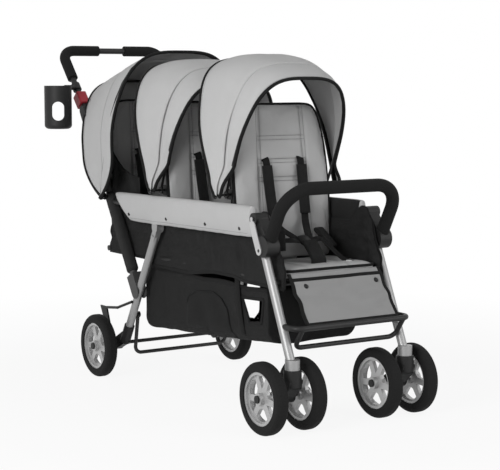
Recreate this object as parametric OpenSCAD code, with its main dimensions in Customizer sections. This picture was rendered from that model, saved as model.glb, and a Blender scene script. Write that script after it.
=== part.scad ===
// Three-seat tandem stroller: tube frame, spoked wheels, front twin casters,
// three padded seats, three folding hoods, underseat basket and folding handle.
// Millimetres. +X is forward, +Y is left, +Z is up.
// The origin is on the floor below the middle of the rear axle.

/* [Stance] */
// Half width of a seat
seat_half = 165; // [155:1:165]
// Edge of a seat to the side tubes: rails, rear legs, posts and handle
lane_gap = 30; // [28:1:36]
// Side tubes to the front legs and their casters, sideways
front_lane_gap = 5; // [1:1:11]
// Side tubes to the middle of a rear wheel, sideways
track_gap = 70; // [64:1:78]
// Rear axle to front wheel axle, along the floor
wheelbase = 983; // [940:1:1020]

/* [Wheels] */
// Wheel diameter over the tyre
wheel_d = 207; // [195:1:215]
// Tyre width
wheel_w = 38; // [32:1:42]
// Diameter of the rim under the tyre
rim_d = 152; // [140:1:160]
// Axle diameter
axle_d = 12; // [10:0.5:14]
// Diameter of the cap on each axle end
cap_d = 22; // [18:1:26]
// Diameter of the wheel hub
hub_d = 34; // [30:1:38]
// Thickness of the rim's spoke disc
spoke_t = 12; // [8:1:16]

/* [Front casters] */
// Caster middle to the middle of each of its two wheels
twin_half = 65.5; // [60:0.5:70]
// How far the wheels trail behind the swivel axis
trail = 45; // [35:1:55]
// Diameter of the swivel stem
stem_d = 18; // [14:1:20]
// Diameter of the fork's round head
head_d = 52; // [46:1:58]
// Height of the top of the fork's head
head_z = 184; // [176:1:190]

/* [Rear legs] */
// Leg tube diameter, front and rear
leg_d = 26; // [22:0.5:28]
// Leg tube wall
leg_wall = 1.6; // [1.2:0.1:2.5]
// Fold pivot of the rear legs: distance ahead of the rear axle
fold_x = 276; // [260:1:290]
// Fold pivot of the rear legs: height
fold_z = 515; // [505:1:520]
// Foot of the rear legs: distance ahead of the rear axle
foot_x = 60; // [50:1:70]
// Foot of the rear legs: height
foot_z = 130; // [125:1:140]

/* [Front legs] */
// Top end of the front legs: distance ahead of the rear axle
front_top_x = 887; // [875:1:897]
// Top end of the front legs: height
front_top_z = 505; // [495:1:512]
// Height where the leg tube meets its caster knuckle
knuckle_z = 206; // [202:1:212]

/* [Side rails] */
// Rail tube diameter
rail_d = 22; // [19:0.5:25]
// Height of the rails at the handle posts
rail_rear_z = 578; // [570:1:586]
// Front end of the rails: distance ahead of the rear axle
rail_front_x = 862; // [850:1:870]
// Front end of the rails: height
rail_front_z = 592; // [584:1:600]
// Height of the padded rail sleeve
sleeve_h = 76; // [66:1:80]
// Thickness of the padded rail sleeve
sleeve_w = 34; // [30:1:36]

/* [Handle] */
// Lower end of the handle posts, on the rear legs: height
post_foot_z = 295; // [285:1:305]
// Handle hinge: distance behind the rear axle
hinge_back = 212; // [205:1:220]
// Handle hinge: height
hinge_z = 876; // [865:1:885]
// Push bar: distance behind the rear axle
bar_back = 392; // [380:1:400]
// Push bar: height
push_z = 1080; // [1065:1:1090]
// Post tube diameter
post_d = 26; // [24:0.5:28]
// Handle tube diameter
handle_d = 20; // [18:0.5:22]
// Bend radius of the push bar
handle_bend = 48; // [42:1:56]
// Diameter of the foam grips
grip_d = 36; // [30:1:38]
// Bare length in the middle of the push bar
bare_len = 106; // [80:1:125]

/* [Cup holder] */
// Cup holder bore
cup_bore = 84; // [78:1:88]
// Cup holder wall
cup_wall = 4; // [3:0.5:5]
// Cup holder height
cup_h = 145; // [130:1:150]
// Cup holder top height
cup_top = 960; // [950:1:970]
// Cup axis: distance behind the rear axle
cup_back = 222; // [215:1:230]
// Cup axis: distance to the right of the handle arm
cup_gap = 99; // [96:1:105]

/* [Front bar] */
// Front bar: distance ahead of the rear axle
front_bar_x = 997; // [985:1:1005]
// Front bar: height
front_bar_z = 683; // [670:1:690]
// Front bar foam diameter
front_bar_d = 38; // [34:1:42]
// Front bar bend radius
front_bar_bend = 85; // [70:1:95]

/* [Seats] */
// Distance from one seat to the next
seat_pitch = 385; // [378:1:390]
// Front edge of the first seat
seat_front = 945; // [935:1:950]
// Height of the seat pads
seat_z = 455; // [445:1:462]
// Depth of a seat pad
seat_depth = 220; // [205:1:228]
// Thickness of a seat pad
pan_t = 32; // [26:1:36]
// Height of a seat back
back_h = 445; // [432:1:450]
// Thickness of a seat back
back_t = 28; // [24:1:32]
// Lean of the seat backs
recline = 7; // [5:0.5:9]
// Seat frame tube diameter
seat_tube_d = 18; // [16:0.5:19]
// Seat back frame tube diameter
hoop_d = 16; // [12:0.5:18]

/* [Basket] */
// Height of the basket rim
basket_top = 380; // [370:1:390]
// Height of the basket floor at the rear
basket_rear_z = 168; // [166:1:180]
// Height of the basket floor at the front
basket_front_z = 222; // [218:1:235]
// Rear end of the basket
basket_rear = 134; // [132:1:150]
// Front end of the basket
basket_front = 850; // [835:1:860]
// Thickness of basket cloth
cloth_t = 3; // [2:0.5:4]

/* [Hoods] */
// Lean of a front bow of hoods one and two
hood_front_lean = 24.6; // [22:0.2:26]
// Lean of a rear bow of hoods one and two
hood_rear_lean = 20; // [18:0.5:22]
// Lean of the front bow of hood three
last_front_lean = 15.4; // [14:0.2:17]
// Lean of the rear bow of hood three
last_rear_lean = 27; // [26:0.5:28]
// Front bow height of hoods one and two
hood_front_h = 376; // [365:1:380]
// Rear bow height of hoods one and two
hood_rear_h = 420; // [410:1:430]
// Front bow of hoods one and two: how far inside the side tubes
hood_front_in = 9; // [7:0.5:10]
// Rear bow of hoods one and two: how far outside the side tubes
hood_rear_out = 26; // [23:1:31]
// Front bow height of hood three
last_front_h = 488; // [480:1:495]
// Rear bow height of hood three
last_rear_h = 428; // [422:1:432]
// Front bow of hood three: how far outside the side tubes
last_front_out = 40; // [38:1:43]
// Rear bow of hood three: how far outside the side tubes
last_rear_out = 31; // [30:1:33]
// Pivot height of hood one
hood_1_z = 645; // [640:1:652]
// Pivot height of hood two
hood_2_z = 634; // [632:1:642]
// Pivot height of hood three
hood_3_z = 595; // [588:1:600]
// Thickness of hood cloth
hood_t = 2.4; // [2:0.2:3]
// Diameter of a hood bow
bow_d = 9; // [7:0.5:10]

/* [Footrest] */
// Footrest bar: distance ahead of the rear axle
footrest_x = 1048; // [1035:1:1060]
// Footrest bar: height
footrest_z = 300; // [290:1:310]
// Footrest tube diameter
footrest_d = 16; // [13:0.5:19]
// Lower bar: height
lower_bar_z = 240; // [232:1:248]

/* [Brake] */
// Brake bar: distance ahead of the rear axle
brake_x = 85; // [78:1:92]
// Brake bar: height
brake_z = 82; // [72:1:90]
// Brake bar pivot height
brake_pivot_z = 214; // [208:1:220]
// Brake bar diameter
brake_d = 12; // [10:0.5:13]

/* [Hidden] */

// Sideways places, all from the seat's half width
lane = seat_half + lane_gap;
front_lane = lane + front_lane_gap;
track_half = lane + track_gap;
basket_half = seat_half;
cup_out = lane + cup_gap;
hood_front_w = lane - hood_front_in;
hood_rear_w = lane + hood_rear_out;
last_front_w = lane + last_front_out;
last_rear_w = lane + last_rear_out;
$fn = 64;

// Clearances and cuts
run_gap = 0.05;
side_gap = 0.5;
free_gap = 0.8;
over = 2;

// Wheels
wheel_r = wheel_d / 2;
rim_r = rim_d / 2;
axle_r = axle_d / 2;
axle_z = wheel_r;
tyre_round_share = 0.34;
tyre_round = wheel_w * tyre_round_share;
rim_lip = 8;
rim_lip_share = 0.78;
rim_lip_w = wheel_w * rim_lip_share;
hub_proud = 1;
hub_len = wheel_w + 2 * hub_proud;
cap_t = 4.5;
v_slots = 3;
v_shares = [[0.36, 0], [0.82, -16], [0.85, 0], [0.82, 16]];
scoop_shares = [[0.44, -20], [0.78, -27], [0.85, -14], [0.86, 0], [0.85, 14], [0.78, 27], [0.44, 20], [0.36, 0]];
v_first = 90;
scoop_first = 30;

// Casters
swivel_x = wheelbase + trail;
stem_r = stem_d / 2;
head_r = head_d / 2;
head_h = 46;
stem_rise = 8;
stem_top = knuckle_z + stem_rise;
knuckle_low = head_z + free_gap;
knuckle_r = 21;
head_floor = 6;
stem_low = head_z - head_h + head_floor;
fork_half = 22;
fork_boss_half = 29;
fork_boss_r = 21;
fork_low_shares = [[-0.8, 0.4], [0.7, -0.5]];
fork_top_shares = [[-0.92, 0.25], [0.8, 0.6], [0.5, 1.15]];
leg_back = 8;

// Rear legs
leg_r = leg_d / 2;
leg_lean = atan2(fold_x - foot_x, fold_z - foot_z);
function rear_leg_x(z) = foot_x + (z - foot_z) * tan(leg_lean);
eye_half = 9.2;
eye_r = 14;
eye_tail = 44;
eye_share = 0.8;
tube_stop = 30;
pivot_r = 4;
cheek_t = 3;
cheek_r = 16;
socket_wall = 4;
socket_r = leg_r + socket_wall;
socket_up = 46;
socket_down = 12;
boss_r = 19;
boss_in = lane - leg_r;
boss_out = track_half - hub_len / 2 - side_gap;
web_r = 13;
web_half = 10;
guard_ball = 5;
guard_off = 4;
guard_lane = lane + leg_r + guard_off;
guard_r = 4.5;
guard_t = 6;
guard_leg_z = 262;
guard_mid_x = 35;
guard_mid_z = 230;
guard_back = 76;
guard_top_z = 217;
guard_lip = 7;
guard_w = 42;
boss_share = 0.8;
web_rear_share = [0.4, 0.9];
guard_mid = [guard_mid_x, guard_mid_z];
guard_top = [-guard_back, guard_top_z];
guard_plate = [[-guard_back - guard_lip, guard_top_z + guard_lip], [guard_w - guard_back - guard_lip, guard_top_z + guard_lip],
    [0, axle_z + boss_r * boss_share], [0, axle_z], [-boss_r * boss_share, axle_z]];
brake_pin_r = 4;
brake_lane = lane - leg_r - brake_d / 2 - free_gap;
brake_x_top = rear_leg_x(brake_pivot_z);
brake_lean = atan2(brake_x_top - brake_x, brake_pivot_z - brake_z);
brake_len = norm([brake_x_top - brake_x, brake_pivot_z - brake_z]);
brake_bend = 24;
brake_eye_r = 10;
brake_eye_share = 0.42;
brake_eye_half = brake_d * brake_eye_share;
brake_neck_share = 0.7;

// Front legs
front_lean = atan2(swivel_x - leg_back - front_top_x, front_top_z - knuckle_z);
function front_leg_x(z) = front_top_x + (front_top_z - z) * tan(front_lean);

// Handle posts
post_r = post_d / 2;
post_foot_x = rear_leg_x(post_foot_z);
post_lean = atan2(post_foot_x + hinge_back, hinge_z - post_foot_z);
function post_x(z) = post_foot_x - (z - post_foot_z) * tan(post_lean);
fork_r = 21;
fork_wall = 4;
fork_side = leg_r + fork_wall;
fork_up = 64;
handle_r = handle_d / 2;
arm_lean = atan2(bar_back - hinge_back, push_z - hinge_z);
arm_len = norm([bar_back - hinge_back, push_z - hinge_z]);
knuckle_half = 8.7;
hinge_cheek_t = 6;
hinge_cheek_r = 17;
hinge_pin_r = 5;
hinge_eye_r = 13;
hinge_drop = 46;
hinge_neck = 20;
hinge_block = 15.5;
tongue = 21;
tube_start = 30;
neck_stop = 50;
neck_r = handle_r - leg_wall / 2;
grip_start = 143;
collar_start = 23;
collar_len = 46;
collar_w = 40;
collar_t = 36;
collar_round = 6;
clip_start = 90;
clip_len = 26;
clip_wall = 5;
clip_mid = clip_start + clip_len / 2;
grip_r = grip_d / 2;

// Cup holder
cup_r = cup_bore / 2 + cup_wall;
cup_round = 14;
cup_floor = 8;
window_w = 40;
window_h = 66;
window_low = 26;
window_turn = -26;
clip_arm_r = 9;
clip_bite = 1.5;

// Rails and sleeves
rail_r = rail_d / 2;
rail_wall = 1.6;
rail_rear_x = post_x(rail_rear_z);
rail_slope = (rail_front_z - rail_rear_z) / (rail_front_x - rail_rear_x);
rail_tilt = atan(rail_slope);
function rail_z(x) = rail_rear_z + (x - rail_rear_x) * rail_slope;
sleeve_up = 30;
sleeve_start = 30;
sleeve_slant = 52;
sleeve_stop = 18;
sleeve_round = sleeve_w / 2;
bracket_half = 16;

// Front hub
hub_ahead = 20;
hub_above = 12;
hub_x = front_top_x + hub_ahead;
hub_z = front_top_z + hub_above;
hub_r = 30;
hub_inner = 20;
hub_outer = 22;
hub_in = front_lane - hub_inner;
hub_out = front_lane + hub_outer;
hub_web_shares = [[0.7, 0.5], [-0.9, 0]];
rail_cap_r = 17;
rail_cap_half = 16;
rail_cap_in = lane - rail_cap_half;
hub_web_half = 14;
link_t = 3;
link_r = 13;
link_hole_r = 5;
bolt_r = 6;
bolt_h = 2.5;
bar_start_share = 0.6;
bar_lean = atan2(front_bar_x - hub_x, front_bar_z - hub_z);
bar_rise = norm([front_bar_x - hub_x, front_bar_z - hub_z]);

// Seats
seat_tube_r = seat_tube_d / 2;
seat_tube_wall = 1.5;
seat_tube_z = seat_z - pan_t - seat_tube_r;
seat_tube_y = seat_half;
seat_tail = 96;
hoop_r = hoop_d / 2;
hoop_wall = 1.5;
hoop_lane = seat_half - hoop_r;
hoop_bend = 95;
back_knee_share = 0.6;
back_top_share = 0.7;
pan_crown = 7;
back_crown = 8;
pad_channel = 4;
channel_share = 0.54;
channel_w_share = 0.05;
pad_tuck = 7;
pad_nu = 14;
pad_nv = 10;
function corner_x(i) = seat_front - seat_depth - i * seat_pitch;
hoop_off = back_t + hoop_r;
back_low = 12;
function hoop_x(i, z) = corner_x(i) - hoop_off / cos(recline) - (z - seat_z) * tan(recline);

// Harness
strap_w = 36;
strap_t = 4;
strap_y = 66;
strap_top_share = 0.6;
strap_sink = 3;
buckle_x = 78;
buckle_z = 30;
buckle = [34, 46, 26];
belt_w = 26;
strap_drop_share = 0.4;
strap_knee_shares = [0.3, 2.6];
belt_out_share = 0.62;
belt_shares = [0.5, 0.2];

// Side panels, calf panel
panel_y = lane - sleeve_w / 2;
panel_low = seat_tube_z - seat_tube_r;
panel_rear = -8;
panel_tail = 80;
panel_tail_up = 90;
panel_lap = 8;
calf_half = 160;
calf_t = 3;
calf_top_drop = 16;
calf_fold = 4;
calf_nu = 16;
calf_nv = 8;
calf_waves = 3;
calf_foot_share = 0.62;

// Footrest
footrest_r = footrest_d / 2;
footrest_bend = 28;
lower_r = 7;
lower_bend = 24;
lower_half = front_lane - leg_r - lower_r - side_gap * 4;
lower_x = front_leg_x(lower_bar_z);
lower_lean = atan2(footrest_x - lower_x, footrest_z - lower_bar_z);
lower_rise = norm([footrest_x - lower_x, footrest_z - lower_bar_z]);

// Basket
tab_w = 28;
tab_shares = [0.1, 0.37, 0.64, 0.9];
window_right = [0.808, 0.962, 0.48, 0.885];
window_left = [0.1, 0.29, 0.135, 0.71];
basket_lean = 4;
tab_bite_share = 0.8;

// Hoods
bow_r = bow_d / 2;
hood_n = 3.4;
base_share = 0.965;
split_share = 0.3;
overlap_deg = 3;
hood_low = 9;
hood_nv = 28;
bow_nv = 32;
bow_sides = 6;
front_steps = 3;
rear_steps = 5;
nest = 6;
disc_r = 11;
disc_half = 2.4;
hood_pin_r = 3.5;
clamp_half = 15;
bow_stub = 8;
hood_back = 10;
clamp_share = 1.2;
clamp_front_share = 0.5;
hood_x = [hoop_x(0, hood_1_z) - hood_back, hoop_x(1, hood_2_z) - hood_back, post_x(hood_3_z)];
hood_z = [hood_1_z, hood_2_z, hood_3_z];
lean_f = [hood_front_lean, hood_front_lean, last_front_lean];
lean_r = [-hood_rear_lean, -hood_rear_lean, -last_rear_lean];
h_f = [hood_front_h, hood_front_h, last_front_h];
h_r = [hood_rear_h, hood_rear_h, last_rear_h];
w_f = [hood_front_w, hood_front_w, last_front_w];
w_r = [hood_rear_w, hood_rear_w, last_rear_w];

// A rod from p to q
module rod(p, q, r) {
    d = q - p;
    translate(p) rotate([0, acos(d[2] / norm(d)), atan2(d[1], d[0])]) cylinder(r = r, h = norm(d));
}

// A tube from p to q, open at both ends
module pipe(p, q, r, wall) {
    d = q - p;
    translate(p) rotate([0, acos(d[2] / norm(d)), atan2(d[1], d[0])]) ring(r, r - wall, norm(d));
}

module ring(r, ri, h) {
    rotate_extrude() translate([ri, 0]) square([r - ri, h]);
}

// A pin, disc or boss along Y between two places
module pin(x, z, y0, y1, r) {
    translate([x, y0, z]) rotate([-90, 0, 0]) cylinder(r = r, h = y1 - y0);
}

// The same piece on both sides
module both() {
    children();
    mirror([0, 1, 0]) children();
}

// A side outline in X and Z, carried along Y between two places
module side_plate(pts, y0, y1) {
    translate([0, y1, 0]) rotate([90, 0, 0]) linear_extrude(y1 - y0) polygon(pts);
}

// A plate across Y with a round end at x, z and straight sides that run down by drop, leaning back by lean
module tab_plate(x, z, lean, r, drop, y0, y1) {
    translate([x, y1, z]) rotate([90, 0, 0]) linear_extrude(y1 - y0) rotate(lean) {
        circle(r);
        translate([-r, -drop]) square([2 * r, drop]);
    }
}

// A U of round section: arms along +Y, span along X
module u_bar(half, rise, bend, r, ri, from) {
    translate([-(half - bend), rise, 0]) rotate([0, 90, 0]) section(r, ri, 2 * (half - bend));
    translate([half - bend, rise - bend, 0]) quarter(bend, r, ri);
    mirror([1, 0, 0]) translate([half - bend, rise - bend, 0]) quarter(bend, r, ri);
    for (s = [-1, 1]) translate([s * half, from, 0]) rotate([-90, 0, 0]) section(r, ri, rise - bend - from);
}

module section(r, ri, h) {
    if (ri > 0) ring(r, ri, h);
    else cylinder(r = r, h = h);
}

module quarter(bend, r, ri) {
    rotate_extrude(angle = 90) translate([bend, 0]) difference() {
        circle(r);
        if (ri > 0) circle(ri);
    }
}

// Stands a U across the stroller, its arms leaning forward by lean
module across(x, z, lean) {
    translate([x, 0, z]) rotate([0, lean, 0]) rotate([90, 0, 90]) children();
}

// Closed skin between two grids of points with the same layout
function grid_faces(nu, nv) = let (w = nv + 1, n = (nu + 1) * w) concat(
    [for (i = [0 : nu - 1], j = [0 : nv - 1]) each [
        [i * w + j, i * w + j + 1, (i + 1) * w + j + 1],
        [i * w + j, (i + 1) * w + j + 1, (i + 1) * w + j],
        [n + i * w + j, n + (i + 1) * w + j + 1, n + i * w + j + 1],
        [n + i * w + j, n + (i + 1) * w + j, n + (i + 1) * w + j + 1]]],
    [for (i = [0 : nu - 1]) each [
        [i * w, (i + 1) * w, n + (i + 1) * w], [i * w, n + (i + 1) * w, n + i * w],
        [i * w + nv, n + (i + 1) * w + nv, (i + 1) * w + nv], [i * w + nv, n + i * w + nv, n + (i + 1) * w + nv]]],
    [for (j = [0 : nv - 1]) each [
        [j, n + j + 1, j + 1], [j, n + j, n + j + 1],
        [nu * w + j, nu * w + j + 1, n + nu * w + j + 1], [nu * w + j, n + nu * w + j + 1, n + nu * w + j]]]);

module skin(top, low, nu, nv) {
    polyhedron(points = concat(top, low), faces = grid_faces(nu, nv), convexity = 6);
}

// Wheels

module tyre() {
    rotate([90, 0, 0]) rotate_extrude($fn = 96) {
        translate([rim_r, -wheel_w / 2]) square([wheel_r - rim_r - tyre_round, wheel_w]);
        translate([rim_r, -wheel_w / 2 + tyre_round]) square([wheel_r - rim_r, wheel_w - 2 * tyre_round]);
        for (s = [-1, 1]) translate([wheel_r - tyre_round, s * (wheel_w / 2 - tyre_round)]) circle(tyre_round);
    }
}

module opening(shares, turn) {
    rotate([0, 0, turn]) translate([0, 0, -spoke_t]) linear_extrude(2 * spoke_t)
        polygon([for (p = shares) rim_r * p[0] * [cos(p[1]), sin(p[1])]]);
}

// Three pairs of spokes: a narrow slot inside each pair, a wide scoop between pairs
module rim() {
    rotate([90, 0, 0]) difference() {
        union() {
            translate([0, 0, -rim_lip_w / 2]) ring(rim_r, rim_r - rim_lip, rim_lip_w);
            difference() {
                translate([0, 0, -spoke_t / 2]) cylinder(r = rim_r - rim_lip / 2, h = spoke_t);
                for (i = [0 : v_slots - 1]) {
                    opening(v_shares, v_first + i * 360 / v_slots);
                    opening(scoop_shares, scoop_first + i * 360 / v_slots);
                }
            }
            translate([0, 0, -hub_len / 2]) cylinder(r = hub_d / 2, h = hub_len);
        }
        translate([0, 0, -hub_len]) cylinder(r = axle_r + run_gap, h = 2 * hub_len);
    }
}

module at_rear(s) { translate([0, s * track_half, axle_z]) children(); }
module at_front(s, t) { translate([wheelbase, s * front_lane + t * twin_half, axle_z]) children(); }

module rim_rear_right() { color("#b4b6b8") at_rear(-1) rim(); }
module rim_rear_left() { color("#b4b6b8") at_rear(1) rim(); }
module rim_front_right_outer() { color("#b4b6b8") at_front(-1, -1) rim(); }
module rim_front_right_inner() { color("#b4b6b8") at_front(-1, 1) rim(); }
module rim_front_left_inner() { color("#b4b6b8") at_front(1, -1) rim(); }
module rim_front_left_outer() { color("#b4b6b8") at_front(1, 1) rim(); }
module tyre_rear_right() { color("#232325") at_rear(-1) tyre(); }
module tyre_rear_left() { color("#232325") at_rear(1) tyre(); }
module tyre_front_right_outer() { color("#232325") at_front(-1, -1) tyre(); }
module tyre_front_right_inner() { color("#232325") at_front(-1, 1) tyre(); }
module tyre_front_left_inner() { color("#232325") at_front(1, -1) tyre(); }
module tyre_front_left_outer() { color("#232325") at_front(1, 1) tyre(); }

// Axles with end caps
module rear_axle() color("#8d8f92") {
    reach = track_half + hub_len / 2 + side_gap;
    pin(0, axle_z, -reach - over, reach + over, axle_r);
    both() pin(0, axle_z, reach, reach + cap_t, cap_d / 2);
}

module front_axle(s) color("#8d8f92") translate([0, s * front_lane, 0]) {
    reach = twin_half + hub_len / 2 + side_gap;
    pin(wheelbase, axle_z, -reach - over, reach + over, axle_r);
    both() pin(wheelbase, axle_z, reach, reach + cap_t, cap_d / 2);
}
module front_axle_right() { front_axle(-1); }
module front_axle_left() { front_axle(1); }

// Caster forks
module caster_fork(s) color("#1d1d1f") translate([0, s * front_lane, 0]) difference() {
    union() {
        translate([swivel_x, 0, head_z - head_h]) cylinder(r = head_r, h = head_h);
        pin(wheelbase, axle_z, -fork_boss_half, fork_boss_half, fork_boss_r);
        low = [for (k = fork_low_shares) [wheelbase, axle_z] + fork_boss_r * k];
        top = [for (k = fork_top_shares) [swivel_x + head_r * k[0], head_z - head_h * k[1]]];
        side_plate(concat([low[0]], top, [low[1]]), -fork_half, fork_half);
    }
    translate([swivel_x, 0, stem_low - side_gap]) cylinder(r = stem_r + run_gap, h = head_h + over);
    pin(wheelbase, axle_z, -fork_boss_half - over, fork_boss_half + over, axle_r);
}
module caster_fork_right() { caster_fork(-1); }
module caster_fork_left() { caster_fork(1); }

// Front legs, each with its caster knuckle and stem
module front_leg_solid(r) {
    rod([front_top_x, front_lane, front_top_z], [swivel_x - leg_back, front_lane, knuckle_z], r);
}

module front_legs() color("#b9bbbd") both() {
    difference() {
        front_leg_solid(leg_r);
        rod([front_leg_x(front_top_z + over), front_lane, front_top_z + over],
            [front_leg_x(knuckle_z + knuckle_r), front_lane, knuckle_z + knuckle_r], leg_r - leg_wall);
    }
    translate([swivel_x, front_lane, knuckle_low]) cylinder(r = knuckle_r, h = stem_top - knuckle_low);
    translate([swivel_x, front_lane, stem_low]) cylinder(r = stem_r, h = stem_top - stem_low);
}

// Front hubs: each joins a rail end, a front leg top and a front bar end
module hub_bodies() {
    pin(hub_x, hub_z, hub_in, hub_out, hub_r);
    pin(rail_front_x, rail_front_z, rail_cap_in, hub_out, rail_cap_r);
    side_plate([[rail_front_x - rail_cap_r, rail_front_z], [rail_front_x + rail_cap_r, rail_front_z],
        for (k = hub_web_shares) [hub_x, hub_z] + hub_r * k], hub_in, front_lane + hub_web_half);
}

module front_hubs() color("#1d1d1f") both() difference() {
    hub_bodies();
    front_leg_solid(leg_r);
    rail_solid(rail_r);
}

// Bright links on the outside of the front hubs
module hub_links() color("#c6c8ca") both() {
    low = [front_top_x + leg_back, front_top_z];
    top = [rail_front_x, rail_front_z - rail_cap_r];
    d = (top - low) / norm(top - low);
    n = [-d[1], d[0]];
    difference() {
        union() {
            pin(low[0], low[1], hub_out, hub_out + link_t, link_r);
            pin(top[0], top[1], hub_out, hub_out + link_t, link_r);
            side_plate([low + link_r * n, low - link_r * n, top - link_r * n, top + link_r * n], hub_out, hub_out + link_t);
        }
        pin(low[0], low[1], hub_out - over, hub_out + link_t + over, link_hole_r);
    }
    pin(rail_front_x, rail_front_z, hub_out + link_t, hub_out + link_t + bolt_h, bolt_r);
}

// Padded front bar
module front_bar() color("#1a1a1c") difference() {
    across(hub_x, hub_z, bar_lean) u_bar(front_lane, bar_rise, front_bar_bend, front_bar_d / 2, 0, hub_r * bar_start_share);
    both() hub_bodies();
}

// Upper rails and their sleeves
module rail_solid(r) {
    rod([rail_rear_x, lane, rail_rear_z], [rail_front_x, lane, rail_front_z], r);
}

module upper_rails() color("#2a2a2c") both() difference() {
    rail_solid(rail_r);
    post_solid(post_r);
    rod([rail_rear_x, lane, rail_rear_z], [rail_front_x - rail_wall, lane, rail_z(rail_front_x - rail_wall)], rail_r - rail_wall);
}

// The sleeve's section stands with the rail running through its upper part
module rail_sleeves() color("#c3c4c6") both() difference() {
    translate([rail_rear_x + sleeve_start, lane, rail_z(rail_rear_x + sleeve_start)]) rotate([0, 90 - rail_tilt, 0])
        linear_extrude((rail_front_x - rail_cap_r - sleeve_stop - rail_rear_x - sleeve_start) / cos(rail_tilt)) {
            translate([-sleeve_up + sleeve_round, -sleeve_w / 2]) square([sleeve_h - 2 * sleeve_round, sleeve_w]);
            translate([-sleeve_up + sleeve_round, 0]) circle(sleeve_round);
            translate([-sleeve_up + sleeve_h - sleeve_round, 0]) circle(sleeve_round);
        }
    rail_solid(rail_r);
    translate([rail_rear_x + sleeve_start, lane, rail_z(rail_rear_x + sleeve_start) + sleeve_up]) rotate([0, -sleeve_slant, 0])
        translate([-sleeve_h, -sleeve_w, -2 * sleeve_h]) cube([sleeve_h, 2 * sleeve_w, 3 * sleeve_h]);
    translate([fold_x - bracket_half - side_gap, lane - sleeve_w, fold_z - cheek_r])
        cube([2 * (bracket_half + side_gap), 2 * sleeve_w, rail_z(fold_x) - fold_z + cheek_r]);
}

// Brackets under the rails that carry the rear legs' fold pins
module rail_brackets() color("#8d8f92") both() difference() {
    union() {
        for (y = [lane - eye_half - side_gap - cheek_t, lane + eye_half + side_gap]) {
            translate([fold_x - bracket_half, y, fold_z]) cube([2 * bracket_half, cheek_t, rail_z(fold_x) - fold_z]);
            pin(fold_x, fold_z, y, y + cheek_t, cheek_r);
        }
        pin(fold_x, fold_z, lane - eye_half - side_gap - cheek_t, lane + eye_half + side_gap + cheek_t, pivot_r);
    }
    rail_solid(rail_r);
}

// Rear legs with their fold eyes and brake pins
module rear_leg_solid(r) {
    rod([fold_x - tube_stop * sin(leg_lean), lane, fold_z - tube_stop * cos(leg_lean)], [foot_x, lane, foot_z], r);
}

module rear_leg_tubes() color("#b9bbbd") both() {
    difference() {
        union() {
            difference() {
                rear_leg_solid(leg_r);
                rod([rear_leg_x(fold_z - eye_tail), lane, fold_z - eye_tail],
                    [rear_leg_x(foot_z + leg_wall), lane, foot_z + leg_wall], leg_r - leg_wall);
            }
            pin(fold_x, fold_z, lane - eye_half, lane + eye_half, eye_r);
            translate([fold_x, lane, fold_z]) rotate([0, leg_lean, 0]) translate([-eye_r * eye_share, -eye_half, -eye_tail])
                cube([2 * eye_r * eye_share, 2 * eye_half, eye_tail]);
        }
        pin(fold_x, fold_z, lane - leg_d, lane + leg_d, pivot_r + run_gap);
    }
    pin(brake_x_top, brake_pivot_z, brake_lane - brake_d / 2, lane - leg_r + leg_wall, brake_pin_r);
}

// Brackets from the leg feet to the axle, each with a bent stay over the wheel
module axle_brackets() color("#1d1d1f") both() difference() {
    union() {
        rod([rear_leg_x(foot_z + socket_up), lane, foot_z + socket_up],
            [rear_leg_x(foot_z - socket_down), lane, foot_z - socket_down], socket_r);
        pin(0, axle_z, boss_in, boss_out, boss_r);
        side_plate([[-boss_r * web_rear_share[0], axle_z + boss_r * web_rear_share[1]], [boss_r * web_rear_share[0], axle_z - boss_r * web_rear_share[1]],
            [foot_x + web_r, foot_z - web_r], [foot_x, foot_z + 2 * web_r]], lane - web_half, lane + web_half);
        rod([rear_leg_x(guard_leg_z), guard_lane, guard_leg_z], [guard_mid[0], guard_lane, guard_mid[1]], guard_r);
        rod([guard_mid[0], guard_lane, guard_mid[1]], [guard_top[0], guard_lane, guard_top[1]], guard_r);
        translate([guard_mid[0], guard_lane, guard_mid[1]]) sphere(guard_ball);
        side_plate(guard_plate, guard_lane - guard_t / 2, guard_lane + guard_t / 2);
    }
    rear_leg_solid(leg_r);
    pin(0, axle_z, boss_in - over, boss_out + over, axle_r);
}

// Foot brake: a U bar hung on the rear legs
module brake_bar() color("#1d1d1f") difference() {
    union() {
        across(brake_x_top, brake_pivot_z, 180 + brake_lean) u_bar(brake_lane, brake_len, brake_bend, brake_d / 2, 0, brake_eye_r * brake_neck_share);
        both() pin(brake_x_top, brake_pivot_z, brake_lane - brake_eye_half, brake_lane + brake_eye_half, brake_eye_r);
    }
    both() pin(brake_x_top, brake_pivot_z, brake_lane - brake_d, brake_lane + brake_d, brake_pin_r + run_gap);
}

// Handle posts, each with an open fork that rests on its rear leg
module post_solid(r) {
    rod([post_foot_x, lane, post_foot_z], [post_x(hinge_z - hinge_neck), lane, hinge_z - hinge_neck], r);
}

module leg_room() {
    translate([post_foot_x, lane, post_foot_z]) rotate([0, leg_lean, 0]) {
        translate([0, 0, -fork_up * 2]) linear_extrude(fork_up * 4) {
            circle(leg_r + free_gap);
            translate([0, -leg_r - free_gap]) square([fork_up * 2, leg_d + 2 * free_gap]);
        }
    }
}

module handle_posts() color("#1d1d1f") both() difference() {
    union() {
        difference() {
            post_solid(post_r);
            rod([post_x(post_foot_z + fork_up), lane, post_foot_z + fork_up],
                [post_x(hinge_z - hinge_drop), lane, hinge_z - hinge_drop], post_r - leg_wall);
        }
        tab_plate(post_foot_x, post_foot_z, 180 + post_lean, fork_r, fork_up, lane - fork_side, lane + fork_side);
    }
    leg_room();
}

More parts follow.
